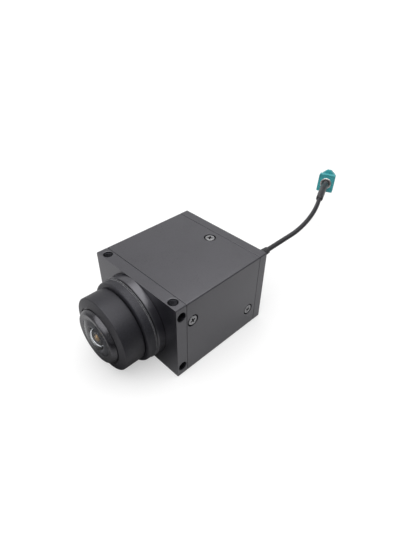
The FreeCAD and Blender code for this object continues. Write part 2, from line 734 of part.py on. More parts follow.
# The keyed shell: a collar, a narrower square socket, a gabled lock lug on top and coding ribs below.
def connector_housing():
    body = prism(PLUG_W, PLUG_H, 0.0, COLLAR_L, r=PLUG_EDGE_R, z=0.0)
    shell_h = PLUG_H - 2 * SHELL_STEP
    body = body.fuse(prism(PLUG_W - 2 * SHELL_STEP, shell_h, 0.0, PLUG_L, r=PLUG_EDGE_R, z=0.0))
    mouth = PLUG_L - SOCKET_DEPTH
    top = shell_h / 2
    crest = top + LUG_RISE
    root = top - RIB_ROOT
    front = PLUG_L - LUG_FRONT_GAP
    ramp = [Vec(0, LUG_BACK, root), Vec(0, LUG_BACK, crest), Vec(0, LUG_CREST, crest),
            Vec(0, front, top + LUG_LIP), Vec(0, front, root)]
    lug = Part.Face(Part.makePolygon(ramp + ramp[:1])).extrude(Vec(LUG_FOOT_W, 0, 0))
    lug.translate(Vec(-LUG_FOOT_W / 2, 0, 0))
    foot = LUG_FOOT_W / 2
    gable = [Vec(-foot, 0, root), Vec(-foot, 0, top), Vec(-LUG_W / 2, 0, crest),
             Vec(LUG_W / 2, 0, crest), Vec(foot, 0, top), Vec(foot, 0, root)]
    body = body.fuse(lug.common(Part.Face(Part.makePolygon(gable + gable[:1])).extrude(Vec(0, PLUG_L, 0))))
    rise = top + RIB_RISE
    for sx in (-1, 1):
        code = sx * CODE_X - CODE_W / 2
        side = sx * PLUG_W / 2
        body = body.fuse(box(code, code + CODE_W, CODE_BACK, PLUG_L, -rise, -root))
        grip = box(side - GRIP_DEPTH, side + GRIP_DEPTH, GRIP_Y0, GRIP_Y1, -GRIP_H / 2, GRIP_H / 2)
        body = body.cut(grip)
    body = body.cut(prism(SOCKET_W, SOCKET_W, mouth, PLUG_L, r=SOCKET_EDGE_R, z=0.0))
    return body.cut(rod(FERRULE_R, 0.0, mouth, 0.0, 0.0)).removeSplitter()


# All the pieces by node name.
def pieces():
    mouth = PLUG_L - SOCKET_DEPTH
    tip = mouth + CONTACT_L
    chip_y = PROCESSOR_BOARD_Y + BOARD_T
    jack_end = BOARD_REAR_Y + JACK_L
    core = CONTACT_R - CONTACT_WALL
    groove = THREAD_R - ORING_DEPTH + SLIP_GAP
    spacer_r = STACK_R - SPACER_WALL
    stop_rear = STOP_FLANGE_REAR - STOP_T
    return {
        "front_block": front_block(),
        "housing_sleeve": housing_sleeve(),
        "rear_cover": rear_cover(),
        "front_seal_frame": seal_frame(SLEEVE_Y0, 1),
        "rear_seal_frame": seal_frame(COVER_Y0, -1),
        "sleeve_screws_front": screw_group(front_screw_seats()),
        "sleeve_screws_rear": screw_group(rear_screw_seats()),
        "sensor_board": board(SENSOR_BOARD_Y),
        "image_sensor": image_sensor(),
        "sensor_cover_glass": sensor_cover_glass(),
        "front_standoffs": standoffs(SENSOR_BOARD_Y + BOARD_T),
        "processor_board": board(PROCESSOR_BOARD_Y),
        "image_processor": prism(PROCESSOR_W, PROCESSOR_W, chip_y, chip_y + PROCESSOR_T),
        "memory_chips": memory_chips(),
        "rear_standoffs": standoffs(PROCESSOR_BOARD_Y + BOARD_T),
        "serializer_board": board(SERIALIZER_BOARD_Y),
        "serializer_chip": prism(SERIALIZER_W, SERIALIZER_W, BOARD_REAR_Y, BOARD_REAR_Y + CHIP_T),
        "power_inductor": power_inductor(),
        "bulk_capacitors": bulk_capacitors(),
        "board_screws": board_screws(),
        "sensor_link": board_link(SENSOR_BOARD_Y + BOARD_T, AXIS_Z + SENSOR_LINK_DZ),
        "serializer_link": board_link(PROCESSOR_BOARD_Y + BOARD_T, AXIS_Z + SERIALIZER_LINK_DZ),
        "thermal_pad": prism(PAD_W, PAD_W, BOARD_REAR_Y + CHIP_T, BOARD_REAR_Y + CHIP_T + PAD_T),
        "board_coax_jack": board_coax_jack(),
        "inner_coax_lead": rod(CABLE_R, jack_end, COVER_Y0 - GLAND_SHANK_L, GLAND_X, GLAND_Z),
        "cable_gland": cable_gland(),
        "gland_nut": gland_nut(),
        "cable_boot": cable_boot(),
        "coax_cable": coax_cable(),
        "cable_heat_shrink": cable_heat_shrink(),
        "connector_housing": on_cable_end(connector_housing()),
        "connector_ferrule": on_cable_end(plug_tube(SLEEVE_R, FERRULE_R, -FERRULE_LIP, mouth)),
        "connector_outer_contact": on_cable_end(plug_tube(core, CONTACT_R, 0.0, tip)),
        "connector_insulator": on_cable_end(plug_tube(PIN_R, core, 0.0, tip - CORE_INSET)),
        "connector_pin": on_cable_end(plug_tube(0.0, PIN_R, 0.0, tip + PIN_LEAD)),
        "lens_seal_ring": lens_ring(groove, THREAD_R + 2 * SLIP_GAP, ORING_REAR, ORING_FRONT),
        "lens_barrel": lens_barrel(),
        "front_element": front_element(),
        "front_retaining_ring": front_retaining_ring(),
        "second_element": second_element(),
        "front_spacer": lens_ring(SECOND_R - SPACER_WALL, SECOND_R, SECOND_EDGE, FRONT_SEAT),
        "third_element": lens_element(STACK_R, STOP_FLANGE_FRONT, THIRD_EDGE, THIRD_FRONT_R, THIRD_REAR_R),
        "middle_spacer": lens_ring(spacer_r, STACK_R, THIRD_EDGE, SECOND_SEAT),
        "aperture_stop": lens_ring(STOP_R, STACK_R, stop_rear, STOP_FLANGE_REAR),
        "stop_spacer": lens_ring(spacer_r, STACK_R, CROWN_EDGE, stop_rear),
        "rear_crown_element": lens_element(STACK_R, CEMENT_EDGE, CROWN_EDGE, CROWN_R, CEMENT_R),
        "rear_flint_element": lens_element(STACK_R, FLINT_EDGE, CEMENT_EDGE, -CEMENT_R, FLINT_R),
        "rear_spacer": lens_ring(spacer_r, STACK_R, LAST_FRONT, FLINT_EDGE),
        "rear_element": lens_element(STACK_R, LAST_REAR, LAST_FRONT, LAST_FRONT_R, LAST_REAR_R),
        "rear_retaining_ring": lens_ring(spacer_r, STACK_R, FILTER_FRONT, LAST_REAR),
        "infrared_filter": lens_turned((0, FILTER_REAR), (STACK_R, FILTER_REAR), (STACK_R, FILTER_FRONT),
                                       (0, FILTER_FRONT)),
        "lock_ring_washer": lens_ring(THREAD_R + RUN_GAP, RING_R - WASHER_INSET, BOSS_L, RING_REAR),
        "lens_lock_ring": lens_lock_ring(),
    }


os.makedirs("parts", exist_ok=True)
for name, shape in pieces().items():
    if not shape.isValid():
        print("invalid shape", name)
    shape.exportStep("parts/%s.step" % name)
    print("%-26s solids %d volume %.2f" % (name, len(shape.Solids), shape.Volume))
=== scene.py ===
import json
import math

import bpy
from mathutils import Matrix, Vector

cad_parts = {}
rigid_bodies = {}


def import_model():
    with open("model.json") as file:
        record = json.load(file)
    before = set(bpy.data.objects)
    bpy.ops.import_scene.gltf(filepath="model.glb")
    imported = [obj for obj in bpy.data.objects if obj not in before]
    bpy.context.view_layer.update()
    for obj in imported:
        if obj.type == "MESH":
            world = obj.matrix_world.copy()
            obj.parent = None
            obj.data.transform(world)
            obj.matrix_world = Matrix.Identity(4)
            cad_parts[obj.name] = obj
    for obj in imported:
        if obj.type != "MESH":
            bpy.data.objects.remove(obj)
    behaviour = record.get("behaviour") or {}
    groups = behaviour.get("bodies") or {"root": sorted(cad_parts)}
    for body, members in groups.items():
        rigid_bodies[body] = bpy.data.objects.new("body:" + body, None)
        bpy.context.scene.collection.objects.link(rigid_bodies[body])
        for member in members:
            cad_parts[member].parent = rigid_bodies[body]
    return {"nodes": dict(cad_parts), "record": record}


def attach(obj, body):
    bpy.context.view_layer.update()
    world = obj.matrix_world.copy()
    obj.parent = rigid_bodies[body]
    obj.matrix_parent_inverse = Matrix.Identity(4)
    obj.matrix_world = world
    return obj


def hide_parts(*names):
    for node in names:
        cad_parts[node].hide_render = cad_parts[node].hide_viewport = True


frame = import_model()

scene = bpy.context.scene
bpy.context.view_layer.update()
mm = 0.001
fullTurn = 2 * math.pi
facing = 0.9  # a face counts as looking along an axis from this share of its normal
print("frame loaded,", len(frame["nodes"]), "nodes")

# the photograph's viewpoint, worked out from the housing's corners
photoView = {
    "location": (0.12363, -0.11017, 0.16214),
    "azimuth": 44.242,
    "elevation": 38.504,
    "roll": 1.310,
    "focal": 26.398,
    "sensorHeight": 36.0,
    "clip": (0.005, 50),
}


def placeCamera():
    azimuth, elevation, roll = (math.radians(photoView[k]) for k in ("azimuth", "elevation", "roll"))
    back = Vector((math.sin(azimuth) * math.cos(elevation),
                   -math.cos(azimuth) * math.cos(elevation), math.sin(elevation)))
    level = Vector((math.cos(azimuth), math.sin(azimuth), 0))
    rise = back.cross(level)
    right = level * math.cos(roll) + rise * math.sin(roll)
    up = rise * math.cos(roll) - level * math.sin(roll)
    bpy.ops.object.camera_add()
    viewer = bpy.context.object
    viewer.name = "photoCamera"
    turn = Matrix((right, up, back)).transposed().to_4x4()
    viewer.matrix_world = Matrix.Translation(photoView["location"]) @ turn
    viewer.data.sensor_fit = 'VERTICAL'
    viewer.data.sensor_height = photoView["sensorHeight"]
    viewer.data.lens = photoView["focal"]
    viewer.data.clip_start, viewer.data.clip_end = photoView["clip"]
    scene.camera = viewer


def freeSelection():
    if bpy.context.object and bpy.context.object.mode != 'OBJECT':
        bpy.ops.object.mode_set(mode='OBJECT')
    bpy.ops.object.select_all(action='DESELECT')


def pickOnly(piece):
    freeSelection()
    piece.select_set(True)
    bpy.context.view_layer.objects.active = piece


def applyPlace(piece):
    pickOnly(piece)
    bpy.ops.object.transform_apply(location=True, rotation=True, scale=True)


def smoothPiece(piece, angle=32):
    pickOnly(piece)
    bpy.ops.object.shade_smooth_by_angle(angle=math.radians(angle))


# merges doubles and turns the faces outwards
def closeSkin(piece, gap):
    pickOnly(piece)
    bpy.ops.object.mode_set(mode='EDIT')
    bpy.ops.mesh.select_all(action='SELECT')
    bpy.ops.mesh.remove_doubles(threshold=gap)
    bpy.ops.mesh.normals_make_consistent(inside=False)
    bpy.ops.object.mode_set(mode='OBJECT')


# selects the corners, edges or faces of the active mesh that a test accepts
def selectWhere(kind, test):
    bpy.ops.mesh.select_mode(type=kind)
    bpy.ops.mesh.select_all(action='DESELECT')
    bpy.ops.object.mode_set(mode='OBJECT')
    mesh = bpy.context.object.data
    if kind == 'FACE':
        for face in mesh.polygons:
            face.select = test(face.center, face.normal)
    elif kind == 'EDGE':
        for edge in mesh.edges:
            first, last = (mesh.vertices[i].co for i in edge.vertices)
            edge.select = test(first, last)
    else:
        for corner in mesh.vertices:
            corner.select = test(corner.co)
    bpy.ops.object.mode_set(mode='EDIT')


def joinPieces(pieces, name):
    freeSelection()
    for piece in pieces:
        piece.select_set(True)
    bpy.context.view_layer.objects.active = pieces[0]
    bpy.ops.object.join()
    pieces[0].name = name
    pieces[0].data.name = name
    return pieces[0]


def copyPiece(piece, place):
    pickOnly(piece)
    bpy.ops.object.duplicate()
    twin = bpy.context.object
    twin.matrix_world = place
    applyPlace(twin)
    return twin


# a tool piece is cut from, or joined to, another and used up
def workPiece(piece, tool, operation):
    pickOnly(piece)
    work = piece.modifiers.new("work", 'BOOLEAN')
    work.operation = operation
    work.solver = 'EXACT'
    work.object = tool
    bpy.ops.object.modifier_apply(modifier=work.name)
    bpy.data.objects.remove(tool)


# a bar from its corners in millimetres, for further work
def plainBar(x0, x1, y0, y1, z0, z1):
    freeSelection()
    middle = ((x0 + x1) / 2 * mm, (y0 + y1) / 2 * mm, (z0 + z1) / 2 * mm)
    bpy.ops.mesh.primitive_cube_add(size=1, location=middle)
    bar = bpy.context.object
    bar.scale = ((x1 - x0) * mm, (y1 - y0) * mm, (z1 - z0) * mm)
    applyPlace(bar)
    return bar


# points along the arc through three profile points, without the first one
def arcPoints(start, middle, end, count):
    (ax, ay), (bx, by), (cx, cy) = start, middle, end
    d = 2 * (ax * (by - cy) + bx * (cy - ay) + cx * (ay - by))
    ux = ((ax * ax + ay * ay) * (by - cy) + (bx * bx + by * by) * (cy - ay)
          + (cx * cx + cy * cy) * (ay - by)) / d
    uy = ((ax * ax + ay * ay) * (cx - bx) + (bx * bx + by * by) * (ax - cx)
          + (cx * cx + cy * cy) * (bx - ax)) / d
    radius = math.hypot(ax - ux, ay - uy)
    angles = [math.atan2(y - uy, x - ux) for x, y in (start, middle, end)]
    sweep = (angles[2] - angles[0] + math.pi) % fullTurn - math.pi
    steps = [angles[0] + sweep * (i + 1) / count for i in range(count)]
    return [(ux + radius * math.cos(a), uy + radius * math.sin(a)) for a in steps]


# a vertex is drawn out round a closed profile, which is left selected in edit mode
def drawProfile(points):
    freeSelection()
    bpy.ops.mesh.primitive_plane_add(size=mm, location=points[0])
    bpy.ops.object.mode_set(mode='EDIT')
    bpy.ops.mesh.select_mode(type='VERT')
    bpy.ops.mesh.merge(type='CENTER')
    here = points[0]
    for there in points[1:] + points[:1]:
        bpy.ops.mesh.extrude_vertices_move(TRANSFORM_OT_translate={"value": there - here})
        here = there
    bpy.ops.mesh.select_all(action='SELECT')
    return bpy.context.object


# a profile spun about the axis; toWorld places an (r, t) point
def turnPiece(name, profile, toWorld, axisAt, axisWay, steps):
    piece = drawProfile([Vector(toWorld(r, t)) for r, t in profile])
    bpy.ops.mesh.spin(steps=steps, angle=fullTurn, center=axisAt, axis=axisWay)
    bpy.ops.object.mode_set(mode='OBJECT')
    piece.name = name
    piece.data.name = name
    applyPlace(piece)
    closeSkin(piece, 2e-6)
    smoothPiece(piece)
    return piece


# drawn at the origin, with its stations along +Y
def turnAlongY(name, profile, steps):
    return turnPiece(name, profile, lambda r, t: (r * mm, t * mm, 0), (0, 0, 0), (0, 1, 0), steps)


# stations along the lens run forward from the front block's face
lensFace = {"y": -31.0, "axisZ": 22.0}


def onLens(r, t):
    return (r * mm, (lensFace["y"] - t) * mm, lensFace["axisZ"] * mm)


def turnLensPiece(name, profile, steps):
    axisAt = (0, lensFace["y"] * mm, lensFace["axisZ"] * mm)
    return turnPiece(name, profile, onLens, axisAt, (0, 1, 0), steps)


# one small class for node links: it wraps a socket, and sums of sockets add their Math nodes
class Link:
    def __init__(self, tree, socket=None):
        self.tree = tree
        self.socket = socket

    def add(self, kind, settings=None, sockets=None, out=0):
        node = self.tree.nodes.new(kind)
        for key, value in (settings or {}).items():
            setattr(node, key, value)
        for key, value in (sockets or {}).items():
            if isinstance(value, Link):
                self.tree.links.new(value.socket, node.inputs[key])
            else:
                node.inputs[key].default_value = value
        return Link(self.tree, node.outputs[out])

    def sum(self, operation, first, second):
        return self.add('ShaderNodeMath', {"operation": operation}, {0: first, 1: second})

    def __add__(self, other):
        return self.sum('ADD', self, other)

    def __radd__(self, other):
        return self.sum('ADD', other, self)

    def __sub__(self, other):
        return self.sum('SUBTRACT', self, other)

    def __rsub__(self, other):
        return self.sum('SUBTRACT', other, self)

    def __mul__(self, other):
        return self.sum('MULTIPLY', self, other)

    def __rmul__(self, other):
        return self.sum('MULTIPLY', other, self)

    def __pow__(self, other):
        return self.sum('POWER', self, other)

    def limit(self):
        return self.add('ShaderNodeClamp', {}, {"Value": self})

    def blend(self, low, high):
        return self.add('ShaderNodeMix', {"data_type": 'RGBA'}, {0: self, 6: low, 7: high}, 2)


def rgb(r, g, b):
    return (r, g, b, 1.0)


finishes = {}


# a new material, its link pen and its shader, with the sockets that are the same all over set at once
def startFinish(name, **fixed):
    material = bpy.data.materials.new(name)
    material.use_nodes = True
    tree = material.node_tree
    shader = tree.nodes["Principled BSDF"]
    for key, value in fixed.items():
        shader.inputs[key.replace("_", " ")].default_value = value
    finishes[name] = material
    pen = Link(tree)
    return pen, shader, pen.add('ShaderNodeTexCoord', out="Object")


def feed(pen, shader, **links):
    for key, link in links.items():
        pen.tree.links.new(link.socket, shader.inputs[key.replace("_", " ")])


def noise(pen, place, scale, detail=2.0, rough=0.5):
    return pen.add('ShaderNodeTexNoise', {}, {"Vector": place, "Scale": scale, "Detail": detail,
                                              "Roughness": rough})


def bump(pen, height, distance):
    return pen.add('ShaderNodeBump', {}, {"Height": height, "Distance": distance, "Strength": 1.0})


# a texture swung about zero, so that it adds as much as it takes away
def swing(link, gain):
    return gain * (link - 0.5)


def shaded(colour, share):
    return rgb(*(share * c for c in colour))


def measure(pen, operation, place, other):
    return pen.add('ShaderNodeVectorMath', {"operation": operation}, {0: place, 1: other}, 1)


# how far the surface turns away within a short reach: 0 on a flat, about 1 on an edge
def edgeMask(pen, reach, gain):
    rounded = pen.add('ShaderNodeBevel', {"samples": 4}, {"Radius": reach * mm})
    flat = pen.add('ShaderNodeNewGeometry', out="Normal")
    same = measure(pen, 'DOT_PRODUCT', rounded, flat)
    return ((1 - same) * gain).limit()


# painted shade in narrow grooves: the shader gives way to a dull black where little light gets in
grooveShadeLook = {"colour": (0.002, 0.002, 0.0025), "from": 0.9, "gain": 1.8}


def paintGrooveShade(pen, shader, reach):
    clear = pen.add('ShaderNodeAmbientOcclusion', {"samples": 6}, {"Distance": reach * mm}, "AO")
    black = pen.add('ShaderNodeBsdfDiffuse', {}, {"Color": rgb(*grooveShadeLook["colour"])})
    body = Link(pen.tree, shader.outputs["BSDF"])
    shadeShare = ((grooveShadeLook["from"] - clear) * grooveShadeLook["gain"]).limit()
    mixed = pen.add('ShaderNodeMixShader', {}, {0: shadeShare, 1: body, 2: black})
    pen.tree.links.new(mixed.socket, pen.tree.nodes["Material Output"].inputs["Surface"])


# bead-blasted black anodise: fine grain, specks, faint clouds, edges lighter as rubbed wear and painted
# highlight, painted shade in the grooves
anodiseLooks = {
    "anodised_housing": {"dark": (0.0045, 0.0045, 0.0075), "light": (0.0070, 0.0070, 0.0105),
                         "wearAndHighlight": (0.028, 0.028, 0.032), "rough": 0.33, "ior": 2.00,
                         "grain": 5200, "depth": 6e-6, "dirt": 0.5},
    "lens_metal": {"dark": (0.0070, 0.0070, 0.0100), "light": (0.0100, 0.0100, 0.0134),
                   "wearAndHighlight": (0.024, 0.024, 0.026), "rough": 0.50, "ior": 1.55,
                   "grain": 6500, "depth": 7e-6, "dirt": 0.5},
    # the lock ring's anodise is a lighter copy as painted light on its shaded front, and its near-white edge
    # colour is a painted highlight along its edges
    "lock_metal_painted_light": {"dark": (0.0160, 0.0160, 0.0200), "light": (0.0230, 0.0230, 0.0280),
                   "wearAndHighlight": (0.70, 0.70, 0.71), "rough": 0.48, "ior": 1.44,
                   "grain": 6500, "depth": 7e-6, "dirt": 0},
    "ring_gloss": {"dark": (0.0050, 0.0050, 0.0068), "light": (0.0075, 0.0075, 0.0098),
                   "wearAndHighlight": (0.016, 0.016, 0.018), "rough": 0.28, "ior": 1.78,
                   "grain": 7000, "depth": 2e-6, "dirt": 0.4},
    "gland_metal": {"dark": (0.0080, 0.0080, 0.0095), "light": (0.0120, 0.0120, 0.0140),
                    "wearAndHighlight": (0.040, 0.040, 0.042), "rough": 0.30, "ior": 1.95,
                    "grain": 6000, "depth": 4e-6, "dirt": 0.4},
}
blastLook = {"tint": (0.955, 0.940, 1.0), "coatRough": 0.30, "coat": 0.22, "cloudScale": 70,
             "cloudGain": 0.5, "speckScale": 3400, "speckGain": 3.0, "speckRise": 3.5,
             "wearHighlightReach": 0.35, "wearHighlightGain": 3.0, "wearHighlightScale": 900, "patchBase": 0.35, "patchGain": 0.9,
             "deepen": 0.55, "lift": 1.5, "roughCloud": 0.10, "roughGrain": 0.14, "roughSpeck": 0.16}


def makeAnodise(name, look):
    blast = blastLook
    pen, shader, place = startFinish(name, IOR=look["ior"], Specular_Tint=rgb(*blast["tint"]),
                                     Coat_Roughness=blast["coatRough"])
    grain = noise(pen, place, look["grain"], 2.0, 0.6)
    speck = noise(pen, place, blast["speckScale"], 1.0)
    cloud = noise(pen, place, blast["cloudScale"], 3.0, 0.55)
    patchy = blast["patchBase"] + blast["patchGain"] * noise(pen, place, blast["wearHighlightScale"], 3.0)
    # edges lighter in colour: partly rubbed wear, partly a painted highlight
    wearAndHighlight = edgeMask(pen, blast["wearHighlightReach"], blast["wearHighlightGain"]) * patchy
    mottle = (0.5 + swing(cloud, blast["cloudGain"]) + swing(speck, blast["speckGain"])).limit()
    body = mottle.blend(shaded(look["dark"], blast["deepen"]), shaded(look["light"], blast["lift"]))
    rough = look["rough"] + swing(cloud, blast["roughCloud"]) + swing(grain, blast["roughGrain"])
    feed(pen, shader, Base_Color=wearAndHighlight.limit().blend(body, rgb(*look["wearAndHighlight"])),
         Roughness=rough + swing(speck, blast["roughSpeck"]),
         Coat_Weight=blast["coat"] * speck ** 2.0,
         Normal=bump(pen, grain + blast["speckRise"] * speck, look["depth"]))
    # painted shade in the grooves, reaching this far in millimetres
    if look["dirt"]:
        paintGrooveShade(pen, shader, look["dirt"])


# screws: turned steel with fine scratches and a dull film, with painted shade in the cross recess and round
# the head
steelLook = {"bright": (0.40, 0.40, 0.41), "dull": (0.22, 0.22, 0.23), "rough": 0.34, "dirt": 1.2,
             "filmScale": 1400, "filmRough": 0.25, "scratchScale": 9000, "scratchRough": 0.1, "depth": 3e-6}


def makeSteel(name):
    pen, shader, place = startFinish(name, Metallic=1.0)
    film = noise(pen, place, steelLook["filmScale"], 4.0, 0.6)
    scratch = noise(pen, place, steelLook["scratchScale"], 2.0)
    rough = steelLook["rough"] + swing(film, steelLook["filmRough"])
    feed(pen, shader, Base_Color=film.blend(rgb(*steelLook["dull"]), rgb(*steelLook["bright"])),
         Roughness=rough + swing(scratch, steelLook["scratchRough"]),
         Normal=bump(pen, scratch, steelLook["depth"]))
    # painted shade in the cross recess and round the head
    paintGrooveShade(pen, shader, steelLook["dirt"])


# coated glass: clear body, a tint from its coating, a trace of dust in the roughness
glassLooks = {
    "front_glass": {"body": (0.93, 0.95, 0.97), "ior": 1.62, "tint": (0.18, 0.18, 0.195)},
    "inner_glass": {"body": (0.90, 0.93, 0.92), "ior": 2.20, "tint": (1.0, 0.60, 0.22)},
    "filter_glass": {"body": (0.62, 0.88, 0.84), "ior": 1.52, "tint": (0.9, 0.40, 0.30)},
}
dustLook = {"polish": 0.012, "dust": 0.03, "dustScale": 2600, "dustFine": 4.0, "hazeScale": 160, "haze": 0.97}


def makeGlass(name, look):
    pen, shader, place = startFinish(name, IOR=look["ior"], Transmission_Weight=1.0,
                                     Specular_Tint=rgb(*look["tint"]))
    dust = noise(pen, place, dustLook["dustScale"], 4.0, 0.7)
    haze = noise(pen, place, dustLook["hazeScale"], 2.0)
    feed(pen, shader, Base_Color=haze.blend(rgb(*look["body"]), shaded(look["body"], dustLook["haze"])),
         Roughness=dustLook["polish"] + dustLook["dust"] * dust ** dustLook["dustFine"])


# plain mouldings and rubbers: a base colour that drifts, a fine moulded grain
mouldLooks = {
    "seal_rubber": {"low": (0.010, 0.010, 0.010), "high": (0.022, 0.022, 0.022), "rough": 0.70,
                    "grain": 3500},
    "washer_plastic": {"low": (0.012, 0.012, 0.013), "high": (0.020, 0.020, 0.021), "rough": 0.50,
                       "grain": 4000},
    "boot_rubber": {"low": (0.030, 0.030, 0.033), "high": (0.048, 0.048, 0.052), "rough": 0.50,
                    "grain": 3800},
    "cable_jacket": {"low": (0.013, 0.0125, 0.0155), "high": (0.022, 0.021, 0.0255), "rough": 0.34,
                     "grain": 2600},
    "shrink_tube": {"low": (0.016, 0.0152, 0.0185), "high": (0.028, 0.0268, 0.0315), "rough": 0.36,
                    "grain": 1700},
    "connector_teal": {"low": (0.052, 0.345, 0.375), "high": (0.070, 0.420, 0.450), "rough": 0.40,
                       "grain": 3000},
    "funnel_black": {"low": (0.028, 0.028, 0.033), "high": (0.045, 0.045, 0.052), "rough": 0.40,
                     "grain": 6000},
    "insulator_white": {"low": (0.70, 0.69, 0.66), "high": (0.82, 0.81, 0.78), "rough": 0.45, "grain": 3000},
    "chip_mould": {"low": (0.012, 0.012, 0.013), "high": (0.026, 0.026, 0.027), "rough": 0.55, "grain": 6000},
    "sensor_ceramic": {"low": (0.085, 0.085, 0.092), "high": (0.13, 0.13, 0.14), "rough": 0.60,
                       "grain": 5000},
    "coil_ferrite": {"low": (0.035, 0.035, 0.037), "high": (0.075, 0.075, 0.078), "rough": 0.62,
                     "grain": 4200},
    "pad_silicone": {"low": (0.20, 0.29, 0.42), "high": (0.30, 0.40, 0.55), "rough": 0.72, "grain": 2400},
}
mouldedSkin = {"ior": 1.46, "driftScale": 240, "driftRough": 0.08, "grainRough": 0.16, "depth": 8e-6,
               "rubReach": 0.3, "rubGain": 2.0, "rub": 0.5, "paleGain": 1.35, "paleLift": 0.004}


def makeMould(name, look):
    skin = mouldedSkin
    pen, shader, place = startFinish(name, IOR=skin["ior"])
    grain = noise(pen, place, look["grain"], 3.0, 0.6)
    drift = noise(pen, place, skin["driftScale"], 3.0)
    rubbed = edgeMask(pen, skin["rubReach"], skin["rubGain"]) * skin["rub"]
    body = drift.blend(rgb(*look["low"]), rgb(*look["high"]))
    pale = rgb(*(min(1.0, skin["paleGain"] * c + skin["paleLift"]) for c in look["high"]))
    feed(pen, shader, Base_Color=rubbed.blend(body, pale),
         Roughness=look["rough"] + swing(grain, skin["grainRough"]) + swing(drift, skin["driftRough"]),
         Normal=bump(pen, grain, skin["depth"]))


# plated and turned metals: contacts, standoffs, crimp ring, thread flanks darkened as painted shade in the
# tapped holes, the bevel in the lens
platedLooks = {
    "standoff_brass": {"low": (0.52, 0.36, 0.13), "high": (0.72, 0.53, 0.22), "rough": 0.34},
    "thread_painted_shade": {"low": (0.010, 0.010, 0.012), "high": (0.034, 0.034, 0.038), "rough": 0.30},
    "contact_brass": {"low": (0.62, 0.43, 0.14), "high": (0.84, 0.62, 0.24), "rough": 0.24},
    "capacitor_can": {"low": (0.52, 0.52, 0.54), "high": (0.70, 0.70, 0.72), "rough": 0.30},
    "ferrule_metal": {"low": (0.50, 0.475, 0.465), "high": (0.72, 0.69, 0.68), "rough": 0.30},
    "bevel_bright": {"low": (0.86, 0.86, 0.88), "high": (0.97, 0.97, 0.98), "rough": 0.10},
}
platedFilm = {"filmScale": 800, "filmRough": 0.2, "lineScale": 7000, "lineRough": 0.1, "depth": 3e-6}


def makePlated(name, look):
    pen, shader, place = startFinish(name, Metallic=1.0)
    film = noise(pen, place, platedFilm["filmScale"], 4.0, 0.6)
    lines = noise(pen, place, platedFilm["lineScale"], 2.0)
    rough = look["rough"] + swing(film, platedFilm["filmRough"])
    feed(pen, shader, Base_Color=film.blend(rgb(*look["low"]), rgb(*look["high"])),
         Roughness=rough + swing(lines, platedFilm["lineRough"]),
         Normal=bump(pen, lines, platedFilm["depth"]))


# solder mask over glass cloth, with tracks as slightly paler lanes
boardLook = {"mask": (0.010, 0.060, 0.028), "track": (0.016, 0.100, 0.046), "rough": 0.38, "ior": 1.55,
             "laneScale": 420.0, "laneWidth": 0.16, "laneGain": 14.0,
             "clothScale": 5200, "clothRough": 0.2, "clothRise": 0.2, "depth": 2.5e-5}


def makeBoard(name):
    pen, shader, place = startFinish(name, IOR=boardLook["ior"])
    lanes = pen.add('ShaderNodeTexVoronoi', {"feature": 'DISTANCE_TO_EDGE', "distance": 'MANHATTAN'},
                    {"Vector": place, "Scale": boardLook["laneScale"]}, "Distance")
    track = ((boardLook["laneWidth"] - lanes) * boardLook["laneGain"]).limit()
    cloth = noise(pen, place, boardLook["clothScale"], 2.0)
    feed(pen, shader, Base_Color=track.blend(rgb(*boardLook["mask"]), rgb(*boardLook["track"])),
         Roughness=boardLook["rough"] + swing(cloth, boardLook["clothRough"]),
         Normal=bump(pen, track + boardLook["clothRise"] * cloth, boardLook["depth"]))


def makeFinishes():
    for make, looks in ((makeAnodise, anodiseLooks), (makeGlass, glassLooks), (makeMould, mouldLooks),
                        (makePlated, platedLooks)):
        for name, look in looks.items():
            make(name, look)
    makeSteel("screw_steel")
    makeBoard("board_laminate")


# every CAD node takes the finish of its slot in the record
def dressNodes():
    for row in frame["record"]["subparts"]:
        node = frame["nodes"][row["node"]]
        for spot in node.material_slots:
            spot.material = finishes[row["material_slot"]]


def settle(piece, body, slot, *nodes, finish=None):
    piece.data.materials.clear()
    piece.data.materials.append(finishes[finish or slot])
    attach(piece, body)
    if nodes:
        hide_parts(*nodes)
    return piece


# a copy of a machined node with its doubles merged, its flats made whole and its sharp edges broken
housingLooks = {
    "front_block": {"name": "frontBlock", "edge": 0.28, "slot": "anodised_housing"},
    "housing_sleeve": {"name": "housingSleeve", "edge": 0.28, "slot": "anodised_housing"},
    "rear_cover": {"name": "rearCover", "edge": 0.28, "slot": "anodised_housing"},
    "cable_gland": {"name": "cableGland", "edge": 0.18, "slot": "gland_metal"},
}
machining = {"merge": 2e-6, "flat": 0.4, "sharp": 35, "smooth": 36}


def machinedPiece(node, look):
    pickOnly(frame["nodes"][node])
    bpy.ops.object.duplicate()
    piece = bpy.context.object
    bpy.ops.object.parent_clear(type='CLEAR_KEEP_TRANSFORM')
    piece.name = look["name"]
    piece.data.name = look["name"]
    bpy.ops.object.mode_set(mode='EDIT')
    bpy.ops.mesh.select_all(action='SELECT')
    bpy.ops.mesh.remove_doubles(threshold=machining["merge"])
    bpy.ops.mesh.dissolve_limited(angle_limit=math.radians(machining["flat"]))
    if node == "front_block":
        openTaps()
    bpy.ops.object.mode_set(mode='OBJECT')
    broken = piece.modifiers.new("brokenEdges", 'BEVEL')
    broken.width = look["edge"] * mm
    broken.segments = 2
    broken.limit_method = 'ANGLE'
    broken.angle_limit = math.radians(machining["sharp"])
    bpy.ops.object.modifier_apply(modifier=broken.name)
    smoothPiece(piece, machining["smooth"])
    flats = piece.modifiers.new("trueFlats", 'WEIGHTED_NORMAL')
    flats.weight = 100
    flats.keep_sharp = True
    bpy.ops.object.modifier_apply(modifier=flats.name)
    settle(piece, "housing", look["slot"], node)


